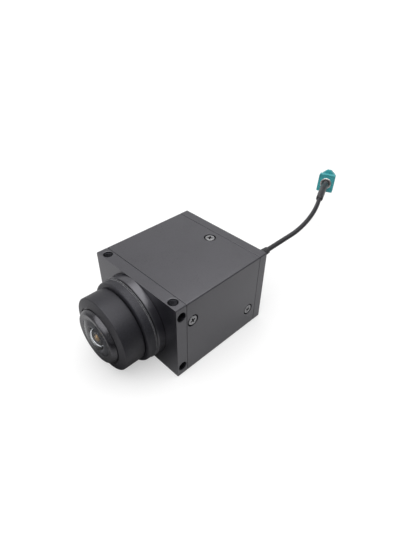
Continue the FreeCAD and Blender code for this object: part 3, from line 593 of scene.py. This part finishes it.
# cross-recess screw in its counterbore, drawn with the sleeve's face at z = 0
screwLook = {
    "profile": [(0, -0.10), (1.50, -0.08), (2.20, -0.05), (2.42, -0.08), (2.54, -0.17), (2.60, -0.31),
                (2.60, -1.40), (1.25, -1.40), (1.25, -5.30), (1.05, -5.40), (0, -5.40)],
    "recess": (3.3, 0.95, 2.2),
    "recessAt": -0.32,
    "taper": 0.62,
    "steps": 48, "smooth": 30,
    "front": [((30, -21.1, 32), (1, 0, 0), 18), ((-30, -21.1, 12), (-1, 0, 0), 40),
              ((0, -21.1, 0), (0, 0, -1), 5)],
    "rear": [((30, 19.9, 12), (1, 0, 0), 62), ((-30, 19.9, 32), (-1, 0, 0), 27),
             ((0, 19.9, 44), (0, 0, 1), 33)],
}


# one arm of the recess cutter: a bar whose lower face is drawn in
def recessArm(turned):
    long, wide, deep = screwLook["recess"]
    x, y = (wide / 2, long / 2) if turned else (long / 2, wide / 2)
    arm = plainBar(-x, x, -y, y, screwLook["recessAt"] - deep / 2, screwLook["recessAt"] + deep / 2)
    bpy.ops.object.mode_set(mode='EDIT')
    selectWhere('FACE', lambda at, way: way.z < -facing)
    bpy.ops.transform.resize(value=(screwLook["taper"], screwLook["taper"], 1))
    bpy.ops.object.mode_set(mode='OBJECT')
    return arm


def makeScrew():
    screw = turnPiece("sleeveScrew", screwLook["profile"], lambda r, t: (r * mm, 0, t * mm),
                      (0, 0, 0), (0, 0, 1), screwLook["steps"])
    for turned in (False, True):
        workPiece(screw, recessArm(turned), 'DIFFERENCE')
    smoothPiece(screw, screwLook["smooth"])
    return screw


# a seat is a point on a face in millimetres, the way the face looks and a spin in degrees
def seatPlace(at, way, spin):
    aim = Vector((0, 0, 1)).rotation_difference(Vector(way)).to_matrix().to_4x4()
    return Matrix.Translation(Vector(at) * mm) @ aim @ Matrix.Rotation(math.radians(spin), 4, 'Z')


def makeScrews():
    screw = makeScrew()
    for row, node in (("front", "sleeve_screws_front"), ("rear", "sleeve_screws_rear")):
        group = [copyPiece(screw, seatPlace(*seat)) for seat in screwLook[row]]
        settle(joinPieces(group, row + "SleeveScrews"), "housing", "screw_steel", node)
    bpy.data.objects.remove(screw)


# a raised helix on the wall of each tapped hole, drawn with the face at z = 0
threadLook = {
    "tooth": [(2.52, 0.0), (2.13, 0.30), (2.13, 0.42), (2.52, 0.72)],
    "wider": 1.19, "wallR": (1.9, 2.3), "wallDepth": (0.2, 14),
    "pitch": 0.8, "leadIn": 0.35, "runOut": 0.9, "steps": 32, "smooth": 40,
    "deepTurns": 8,
    "shallowTurns": 3,
    "deepSeats": [((24.5, -27.9, 44), (0, 0, 1), 0), ((-24.5, -27.9, 44), (0, 0, 1), 70),
                  ((22.5, -27.9, 0), (0, 0, -1), 30), ((-22.5, -27.9, 0), (0, 0, -1), 110)],
    "shallowSeats": [((30, -27.9, 38.5), (1, 0, 0), 20), ((30, -27.9, 5.5), (1, 0, 0), 80),
                     ((-30, -27.9, 37), (-1, 0, 0), 140), ((-30, -27.9, 7), (-1, 0, 0), 10)],
}


# the tapped holes of the block's copy, widened from drill size to the thread's root
def openTaps():
    (inner, outer), (upper, lower) = threadLook["wallR"], threadLook["wallDepth"]
    for at, way, _ in threadLook["deepSeats"] + threadLook["shallowSeats"]:
        seat, way = Vector(at) * mm, Vector(way)

        def onWall(place):
            off = (place - seat) / mm
            deep = -off.dot(way)
            return upper < deep < lower and inner < (off + deep * way).length < outer

        selectWhere('VERT', onWall)
        stretch = [1 if abs(w) > 0.5 else threadLook["wider"] for w in way]
        bpy.ops.transform.resize(value=stretch, center_override=seat)


def makeThread(turns):
    thread = drawProfile([Vector((r * mm, 0, z * mm)) for r, z in threadLook["tooth"]])
    bpy.ops.mesh.remove_doubles(threshold=1e-6)
    bpy.ops.object.mode_set(mode='OBJECT')
    applyPlace(thread)
    helix = thread.modifiers.new("helix", 'SCREW')
    helix.axis = 'Z'
    helix.screw_offset = threadLook["pitch"] * mm
    helix.iterations = turns
    helix.steps = helix.render_steps = threadLook["steps"]
    bpy.ops.object.modifier_apply(modifier=helix.name)
    bpy.ops.object.mode_set(mode='EDIT')
    bpy.ops.mesh.select_all(action='SELECT')
    bpy.ops.mesh.fill_holes(sides=0)
    bpy.ops.object.mode_set(mode='OBJECT')
    thread.location.z = -(threadLook["leadIn"] + (turns + threadLook["runOut"]) * threadLook["pitch"]) * mm
    applyPlace(thread)
    closeSkin(thread, 1e-7)
    smoothPiece(thread, threadLook["smooth"])
    return thread


def makeThreads():
    group = []
    for turns, seats in (("deepTurns", "deepSeats"), ("shallowTurns", "shallowSeats")):
        thread = makeThread(threadLook[turns])
        group += [copyPiece(thread, seatPlace(*seat)) for seat in threadLook[seats]]
        bpy.data.objects.remove(thread)
    # the threads take a near-black finish as painted shade inside the holes
    settle(joinPieces(group, "bracketHoleThreads"), "housing", "anodised_housing", finish="thread_painted_shade")


# lens barrel: threaded stub with a seal groove, a plain wall with broken edges, stepped bore
barrelLook = {
    "threadR": 14.85, "threadPitch": 0.5, "threadDepth": 0.17, "threadFrom": 2.0, "crest": (0.2, 0.25),
    "rear": -5.2, "groove": (14.05, 0.5, 1.9),
    "shoulder": 10.1, "shoulderEdge": [(19.1, 0), (19.18, 0.03), (19.27, 0.12), (19.3, 0.2)],
    "nose": [(19.3, 20.1), (19.2, 20.44), (18.85, 20.64)], "noseRows": 14, "steps": 160,
    "bore": [(15.02, 21.67), (14.94, 21.64), (14.9, 21.55), (14.9, 19.0), (12.5, 19.0), (12.5, 16.2),
             (9.3, 16.2), (9.3, 10.5), (7.0, 10.5), (7.0, 5.2), (4.2, 5.2), (4.2, 4.6), (7.0, 4.6),
             (7.0, -5.2)],
}


def makeBarrel():
    look = barrelLook
    crest, root = look["threadR"], look["threadR"] - look["threadDepth"]
    grooveR, grooveRear, grooveFront = look["groove"]
    profile = [(root, look["rear"]), (root, grooveRear), (grooveR, grooveRear), (grooveR, grooveFront),
               (root, grooveFront)]
    t = look["threadFrom"]
    while t < look["shoulder"] - look["threadPitch"]:
        profile += [(root, t)] + [(crest, t + step) for step in look["crest"]]
        t += look["threadPitch"]
    profile.append((root, look["shoulder"]))
    profile += [(r, look["shoulder"] + step) for r, step in look["shoulderEdge"]] + [look["nose"][0]]
    profile += arcPoints(*look["nose"], look["noseRows"]) + look["bore"]
    settle(turnLensPiece("lensBarrel", profile, look["steps"]), "lens", "lens_metal", "lens_barrel")


# lock ring: a plain band, rounded in front, with a narrow raised bead at its rear edge
lockRingLook = {
    "profile": [(15.15, 4.7), (15.25, 4.6), (21.5, 4.6), (21.78, 4.68), (21.9, 4.88), (21.86, 5.1),
                (21.7, 5.26), (21.5, 5.32), (21.48, 5.5), (21.48, 8.1), (21.44, 8.45), (21.3, 8.82),
                (21.05, 9.15), (20.7, 9.38), (20.3, 9.5), (15.25, 9.5), (15.15, 9.4)],
    "steps": 160,
}


def makeLockRing():
    ring = turnLensPiece("lockRing", lockRingLook["profile"], lockRingLook["steps"])
    # its finish is lighter anodise as painted light, with a painted highlight along its edges
    settle(ring, "lock_ring", "lens_metal", "lens_lock_ring", finish="lock_metal_painted_light")


# retaining ring: a groove at its foot, a leaning outer wall, a dished lip over the glass
retainerLook = {
    "foot": [(12.5, 19.0), (14.9, 19.0), (14.9, 21.25), (14.45, 21.2), (14.3, 21.25), (14.25, 21.4)],
    "wall": [(14.25, 21.4), (13.9, 22.75), (13.12, 23.88)], "wallRows": 18, "steps": 160,
    "lip": [(13.0, 24.0), (12.85, 24.08), (12.65, 24.1), (12.4, 24.08), (11.4, 23.95), (10.5, 23.84),
            (10.25, 23.82), (10.1, 23.76), (10.02, 23.68), (11.8, 22.9), (12.5, 22.0)],
}


def makeRetainer():
    profile = retainerLook["foot"] + arcPoints(*retainerLook["wall"], retainerLook["wallRows"])
    ring = turnLensPiece("retainingRing", profile + retainerLook["lip"], retainerLook["steps"])
    settle(ring, "lens", "ring_gloss", "front_retaining_ring")


# the domed front element and the second element behind it
domeLook = {"edge": [(5.5, 21.64), (9.2, 21.64), (9.2, 16.2), (12.5, 16.2), (12.5, 21.9), (11.8, 22.8)],
            "domeR": 22.5, "apex": 26.1, "hollowR": 6.59, "hollowApex": 24.6}
secondLook = {"edge": [(2.6, 10.5), (9.3, 10.5), (9.3, 14.0), (2.8, 14.0)], "domeR": 3.0, "apex": 21.8,
              "hollowR": 5.6, "hollowApex": 12.6}
polish = {"rows": 24, "steps": 128}


# how far a sphere has fallen away from its apex at r
def drop(radius, r):
    return radius - math.sqrt(radius * radius - r * r)


def makeElement(name, look, slot, node):
    outer, rim, rows = look["edge"][-1][0], look["edge"][0][0], polish["rows"]
    profile = list(look["edge"])
    for i in range(1, rows + 1):
        r = outer * (1 - i / rows)
        profile.append((r, look["apex"] - drop(look["domeR"], r)))
    for i in range(rows):
        r = rim * math.sin(math.pi / 2 * i / rows)
        profile.append((r, look["hollowApex"] - drop(look["hollowR"], r)))
    settle(turnLensPiece(name, profile, polish["steps"]), "lens", slot, node)


# stray light ring: the black seen behind and round the front element, in contact with its ground faces;
# a narrow bright bevel at the hollow's rim gives the white crescent in the lens
funnelLook = {
    "profile": [(12.6, 16.1), (12.6, 21.8), (12.42, 21.8), (12.42, 16.4), (9.35, 16.4), (9.35, 21.8),
                (5.62, 21.8), (5.5, 21.7), (5.42, 21.4), (5.25, 21.0), (5.4, 20.8), (8.7, 20.4), (8.7, 17.0),
                (3.05, 16.9), (3.05, 19.75), (2.72, 19.75), (2.72, 14.3), (3.2, 14.3), (3.2, 16.5),
                (8.9, 16.3), (8.9, 16.1)],
    "bevel": [(5.48, 21.62), (4.86, 21.0), (4.86, 20.9), (5.4, 21.4)],
    "steps": 96,
}


def makeFunnel():
    funnel = turnLensPiece("strayLightRing", funnelLook["profile"], funnelLook["steps"])
    settle(funnel, "lens", "lens_metal", finish="funnel_black")
    bevel = turnLensPiece("brightStopRing", funnelLook["bevel"], funnelLook["steps"])
    settle(bevel, "lens", "lens_metal", finish="bevel_bright")


# cable boot: a bead at the gland, five flex grooves, a taper down to the cable
bootLook = {
    "at": (18.5, 35.1, 31.7), "length": 12.9,
    "bead": [(0, 0), (3.75, 0), (3.86, 0.05), (3.9, 0.18), (3.9, 1.6), (3.84, 1.75), (3.7, 1.85), (3.2, 2.3)],
    "waistR": 2.46, "waistAt": 0.55, "tipR": 2.0, "tipEdge": 0.3,
    "grooves": 5, "groovesFrom": 3.4, "groovePitch": 1.4, "landShare": 0.55, "grooveDepth": 0.32,
    "mouthR": 1.7, "boreR": 1.4, "boreDepth": 4.0, "rows": 40, "steps": 64,
}


def makeBoot():
    look = bootLook
    x, y, z = look["at"]
    end, bore = look["length"], look["boreR"]
    profile = list(look["bead"])
    waist, tip = (look["waistR"], look["waistAt"] * end), (look["tipR"], end - look["tipEdge"])
    for r, t in arcPoints(profile[-1], waist, tip, look["rows"]):
        phase = (t - look["groovesFrom"]) / look["groovePitch"]
        inGroove = 0 < phase < look["grooves"] and phase % 1 > look["landShare"]
        profile.append((r - (look["grooveDepth"] if inGroove else 0), t))
    floor = end - look["boreDepth"]
    profile += [(look["mouthR"], end), (bore, end), (bore, floor), (0, floor)]
    boot = turnPiece("cableBoot", profile, lambda r, t: ((x + r) * mm, (y + t) * mm, z * mm),
                     (x * mm, y * mm, z * mm), (0, 1, 0), look["steps"])
    settle(boot, "housing", "boot_rubber", "cable_boot")


# the pigtail's route and its plug's place, in millimetres as in the part's source
pigtailLook = {
    "route": [(18.5, 44.0, 31.7), (18.5, 59.5, 31.7), (19.8, 78.2, 33.2), (16.1, 99.5, 36.0),
              (5.4, 123.2, 36.8), (-4.0, 145.2, 32.5)],
    "radius": 1.4, "resolution": 24, "roundness": 8,
    "exit": (18.5, 48.0, 31.7),
    "length": 0.105,  # metres
}


def plugPlace():
    before, end = (Vector(p) * mm for p in pigtailLook["route"][-2:])
    ahead = (end - before).normalized()
    side = ahead.cross(Vector((0, 0, 1))).normalized()
    up = side.cross(ahead)
    return Matrix.Translation(end) @ Matrix((side, ahead, up)).transposed().to_4x4()


def smoothPath(name, points, resolution):
    line = bpy.data.curves.new(name, 'CURVE')
    line.dimensions = '3D'
    line.resolution_u = resolution
    spline = line.splines.new('NURBS')
    spline.points.add(len(points) - 1)
    for point, at in zip(spline.points, points):
        point.co = (*at, 1)
    spline.order_u = 3
    spline.use_endpoint_u = True
    path = bpy.data.objects.new(name, line)
    scene.collection.objects.link(path)
    return path


def makeCable():
    route = [Vector(at) * mm for at in pigtailLook["route"]]
    cable = smoothPath("coaxPigtail", route, pigtailLook["resolution"])
    cable.data.bevel_depth = pigtailLook["radius"] * mm
    cable.data.bevel_resolution = pigtailLook["roundness"]
    cable.data.use_fill_caps = True
    return settle(cable, "housing", "cable_jacket", "coax_cable")


# heat shrink: a snug sleeve with slight ripples, drawn straight and then laid on the cable's last bend
shrinkLook = {
    "profile": [(1.4, 2.1), (1.55, 2.12), (1.86, 2.4), (2.14, 3.3), (2.27, 4.6), (2.22, 8.0), (2.33, 11.5),
                (2.27, 16.0), (2.37, 20.5), (2.32, 25.0), (2.40, 29.0), (2.36, 33.0), (2.44, 36.0),
                (2.44, 37.4), (1.4, 37.4)],
    "bore": [(1.4, 30.0), (1.4, 23.0), (1.4, 16.0), (1.4, 9.0)],
    "step": 0.9, "skinR": 1.5, "bendSteps": 64, "steps": 48, "smooth": 40,
}


# the cable's last bend as a path of its own: half way into the run before, its corner, its end
def lastBend():
    before, corner, end = (Vector(p) * mm for p in pigtailLook["route"][-3:])
    return smoothPath("lastBend", [(before + corner) / 2, corner, end], shrinkLook["bendSteps"])


# points put in along the long runs of the sleeve's skin, so that it can bend
def closerPoints(profile, step, skinR):
    points = []
    for (r0, t0), (r1, t1) in zip(profile, profile[1:]):
        count = max(1, round(abs(t1 - t0) / step)) if r0 > skinR else 1
        points += [(r0 + (r1 - r0) * i / count, t0 + (t1 - t0) * i / count) for i in range(count)]
    return points + [profile[-1]]


def makeShrink():
    skin = closerPoints(shrinkLook["profile"], shrinkLook["step"], shrinkLook["skinR"])
    sleeve = turnAlongY("heatShrink", skin + shrinkLook["bore"], shrinkLook["steps"])
    path = lastBend()
    laid = sleeve.modifiers.new("laid", 'CURVE')
    laid.object = path
    laid.deform_axis = 'POS_Y'
    pickOnly(sleeve)
    bpy.ops.object.modifier_apply(modifier=laid.name)
    bpy.data.objects.remove(path)
    smoothPiece(sleeve, shrinkLook["smooth"])
    return settle(sleeve, "housing", "shrink_tube", "cable_heat_shrink")


# crimp ring in the plug's rear face, its lip rounded
crimpLook = {
    "profile": [(2.45, 4.0), (2.45, -0.55), (2.52, -0.72), (2.70, -0.80), (3.45, -0.80), (3.70, -0.74),
                (3.88, -0.58), (3.98, -0.34), (4.0, -0.1), (4.0, 4.0)],
    "steps": 64,
}


def makeCrimp():
    ring = turnAlongY("crimpRing", crimpLook["profile"], crimpLook["steps"])
    ring.matrix_world = plugPlace()
    applyPlace(ring)
    return settle(ring, "housing", "ferrule_metal", "connector_ferrule")


# plug shell: a collar, a narrower square socket, a ramped lock lug, coding ribs and thumb pockets
plugLook = {
    "collar": (11.3, 5.6, 12.2), "collarDip": 0.25,
    "step": 1.05, "length": 13.5, "bodyFrom": 1.0, "bodyDip": 0.05,
    "edge": 0.8, "edgeRows": 4, "frontEdge": 0.12, "frontRim": 0.25, "rearRim": 0.5, "smooth": 34,
    "socket": 7.2, "depth": 9.5, "socketEdge": 0.6, "socketCut": 20.0,
    "bore": 4.0, "boreLength": 10.0, "boreSteps": 64,
    "lug": {"crest": 2.6, "foot": 8.6, "back": 7.4, "front": 12.9, "rise": 3.0, "crestAt": 10.4, "tip": 0.3,
            "sunk": 0.5, "edge": 0.12},
    "rib": {"at": 2.2, "half": 0.6, "from": 8.0, "proud": 0.7, "sunk": 0.5, "edge": 0.1},
    "pocket": {"deep": 0.7, "from": 1.6, "to": 4.6, "half": 2.6, "edge": 0.2},
}


# a bar with its edges broken
def plugBar(x0, x1, y0, y1, z0, z1, edge):
    bar = plainBar(x0, x1, y0, y1, z0, z1)
    bpy.ops.object.mode_set(mode='EDIT')
    bpy.ops.mesh.select_all(action='SELECT')
    bpy.ops.mesh.bevel(offset=edge * mm, segments=2, affect='EDGES')
    bpy.ops.object.mode_set(mode='OBJECT')
    return bar


# a box with rounded long edges, its front edge broken and its rear face dished
def roundedBox(wide, high, y0, y1, rearDip):
    box = plainBar(-wide / 2, wide / 2, y0, y1, -high / 2, high / 2)
    bpy.ops.object.mode_set(mode='EDIT')
    selectWhere('EDGE', lambda a, b: abs(a.y - b.y) > 0.5 * (y1 - y0) * mm)
    bpy.ops.mesh.bevel(offset=plugLook["edge"] * mm, segments=plugLook["edgeRows"], affect='EDGES')
    selectWhere('FACE', lambda at, way: way.y > facing)
    bpy.ops.transform.translate(value=(0, -plugLook["frontEdge"] * mm, 0))
    bpy.ops.mesh.inset(thickness=plugLook["frontRim"] * mm)
    bpy.ops.transform.translate(value=(0, plugLook["frontEdge"] * mm, 0))
    selectWhere('FACE', lambda at, way: way.y < -facing)
    bpy.ops.mesh.inset(thickness=plugLook["rearRim"] * mm)
    bpy.ops.transform.translate(value=(0, rearDip * mm, 0))
    bpy.ops.object.mode_set(mode='OBJECT')
    return box


# the lock lug: a block whose flanks and front are sloped off
def makeLug(top):
    look = plugLook["lug"]
    width, foot, front, rise = look["crest"], look["foot"], look["front"], look["rise"]
    lug = plugBar(-foot / 2, foot / 2, look["back"], front, top - look["sunk"], top + rise, look["edge"])
    crest = (top + rise) * mm
    slopes = [((side * width / 2 * mm, 0, crest), (side * rise, 0, (foot - width) / 2)) for side in (-1, 1)]
    slopes.append(((0, look["crestAt"] * mm, crest), (0, rise - look["tip"], front - look["crestAt"])))
    pickOnly(lug)
    bpy.ops.object.mode_set(mode='EDIT')
    for at, way in slopes:
        bpy.ops.mesh.select_all(action='SELECT')
        bpy.ops.mesh.bisect(plane_co=at, plane_no=way, clear_outer=True, use_fill=True)
    bpy.ops.object.mode_set(mode='OBJECT')
    return lug


def makePlug():
    wide, collar, high = plugLook["collar"]
    long, half = plugLook["length"], plugLook["socket"] / 2
    floor = long - plugLook["depth"]
    step, drill, rib, pocket = (plugLook[k] for k in ("step", "boreLength", "rib", "pocket"))
    top = high / 2 - step
    shell = roundedBox(wide, high, 0, collar, plugLook["collarDip"])
    body = roundedBox(wide - 2 * step, 2 * top, plugLook["bodyFrom"], long, plugLook["bodyDip"])
    workPiece(shell, body, 'UNION')
    freeSelection()
    bpy.ops.mesh.primitive_cylinder_add(vertices=plugLook["boreSteps"], radius=plugLook["bore"] * mm,
                                        depth=drill * mm, location=(0, (floor - drill / 2) * mm, 0),
                                        rotation=(math.pi / 2, 0, 0))
    workPiece(shell, bpy.context.object, 'DIFFERENCE')
    socket = plugBar(-half, half, floor, floor + plugLook["socketCut"], -half, half, plugLook["socketEdge"])
    workPiece(shell, socket, 'DIFFERENCE')
    bars = [makeLug(top)]
    for side in (-1, 1):
        x, code = side * wide / 2, side * rib["at"]
        cutter = plugBar(x - pocket["deep"], x + pocket["deep"], pocket["from"], pocket["to"],
                         -pocket["half"], pocket["half"], pocket["edge"])
        workPiece(shell, cutter, 'DIFFERENCE')
        bars.append(plugBar(code - rib["half"], code + rib["half"], rib["from"], long,
                            -top - rib["proud"], -top + rib["sunk"], rib["edge"]))
    plug = joinPieces([shell] + bars, "plugShell")
    plug.matrix_world = plugPlace()
    applyPlace(plug)
    closeSkin(plug, 1e-7)
    smoothPiece(plug, plugLook["smooth"])
    return settle(plug, "housing", "connector_teal", "connector_housing")


def makePigtail():
    cable = makeCable()
    fittings = [makeShrink(), makeCrimp(), makePlug()]
    inner = ("connector_outer_contact", "connector_insulator", "connector_pin")
    fittings += [frame["nodes"][name] for name in inner]


# white room: a long soft box overhead, a pale wall on the left, a floor that keeps the shadow;
# the floor's shade is a painted shadow under the lens and its dusk a painted shade ahead and to the right,
# both met only by mirrored and bounced light
roomLook = {
    "ambient": 0.12, "seen": 1.0, "mirrorShare": 0.2,
    "floorSize": 14, "floorSink": 2e-5, "floorTone": 0.56, "floorDrift": 0.01, "floorScale": 3.0,
    "floorRough": 0.9,
    "nearGlow": 0.47, "farGlow": 1.0, "farFrom": 0.2, "farReach": 1.3,
    "shade": {"at": (0.0, -0.048, 0.0), "edge": 1.5, "reach": 0.024, "depth": 0.90},
    "dusk": {"way": (0.9, -0.45, 0.0), "from": 0.055, "reach": 0.06, "depth": 0.92},
    "lamps": [
        {"name": "overheadBox", "at": (0.070, -0.45, 0.90), "aim": (0.070, -0.45, 0), "size": (1.30, 2.5),
         "glow": 2.0},
        {"name": "leftWall", "at": (-1.0, 0.45, 0.50), "aim": (0, 0.2, 0.1), "size": (2.0, 0.9),
         "glow": 0.42},
    ],
}


# 1 for what the eye sees straight on or through glass, and the share of that white which metal mirrors
def seenRays(pen):
    straight = pen.add('ShaderNodeLightPath', out="Is Camera Ray")
    rays = straight.socket.node.outputs
    through, mirrored = (Link(pen.tree, rays[kind]) for kind in ("Is Transmission Ray", "Is Glossy Ray"))
    return (straight + through).limit(), roomLook["mirrorShare"] * mirrored


def makeSky():
    world = bpy.data.worlds.new("whiteRoom")
    scene.world = world
    world.use_nodes = True
    pen = Link(world.node_tree)
    sky = world.node_tree.nodes["Background"]
    sky.inputs["Color"].default_value = rgb(1, 1, 1)
    plain, mirrored = seenRays(pen)
    strength = roomLook["ambient"] + (roomLook["seen"] - roomLook["ambient"]) * (plain + mirrored).limit()
    world.node_tree.links.new(strength.socket, sky.inputs["Strength"])


def makeFloor():
    shade, dusk, drift = (roomLook[k] for k in ("shade", "dusk", "floorDrift"))
    freeSelection()
    bpy.ops.mesh.primitive_plane_add(size=roomLook["floorSize"], location=(0, 0, -roomLook["floorSink"]))
    floor = bpy.context.object
    floor.name = "studioFloor"
    pen, shader, place = startFinish("studioFloor", Roughness=roomLook["floorRough"], Specular_IOR_Level=0.0,
                                     Emission_Strength=1.0)
    grey = (roomLook["floorTone"],) * 3
    tone = noise(pen, place, roomLook["floorScale"])
    body = tone.blend(shaded(grey, 1 - drift), shaded(grey, 1 + drift))
    # painted shadow under the lens and painted shade ahead to the right, darkening the floor for mirrored and
    # bounced light
    under = (shade["edge"] - measure(pen, 'DISTANCE', place, shade["at"]) * (1 / shade["reach"])).limit()
    ahead = measure(pen, 'DOT_PRODUCT', place, dusk["way"])
    later = ((ahead - dusk["from"]) * (1 / dusk["reach"])).limit()
    dark = 1 - (1 - under * shade["depth"]) * (1 - later * dusk["depth"])
    away = measure(pen, 'DISTANCE', place, (0, 0, 0))
    far = ((away - roomLook["farFrom"]) * (1 / roomLook["farReach"])).limit()
    plain, mirrored = seenRays(pen)
    glow = roomLook["nearGlow"] + (roomLook["farGlow"] - roomLook["nearGlow"]) * far
    feed(pen, shader, Base_Color=(dark * (1 - plain)).blend(body, rgb(0, 0, 0)),
         Emission_Color=glow * (plain + mirrored * (1 - dark)).limit())
    floor.data.materials.append(finishes["studioFloor"])


def makeLamps():
    for lamp in roomLook["lamps"]:
        bpy.ops.object.light_add(type='AREA', location=lamp["at"])
        box = bpy.context.object
        box.name = lamp["name"]
        box.data.shape = 'RECTANGLE'
        box.data.size, box.data.size_y = lamp["size"]
        box.data.energy = lamp["glow"] * math.pi * lamp["size"][0] * lamp["size"][1]
        box.rotation_euler = (Vector(lamp["at"]) - Vector(lamp["aim"])).to_track_quat('Z', 'Y').to_euler()
        box.visible_camera = False


placeCamera()
makeFinishes()
dressNodes()
print("finishes made:", len(finishes))
makePigtail()
print("pigtail and plug done")
for node, look in housingLooks.items():
    machinedPiece(node, look)
print("housing pieces done")
makeScrews()
makeThreads()
print("screws and threads done")
makeBarrel()
makeLockRing()
makeRetainer()
makeElement("frontDome", domeLook, "front_glass", "front_element")
makeElement("secondElement", secondLook, "inner_glass", "second_element")
makeFunnel()
print("lens done")
makeBoot()
makeSky()
makeFloor()
makeLamps()
scene.view_settings.view_transform = 'Standard'
print("room done")
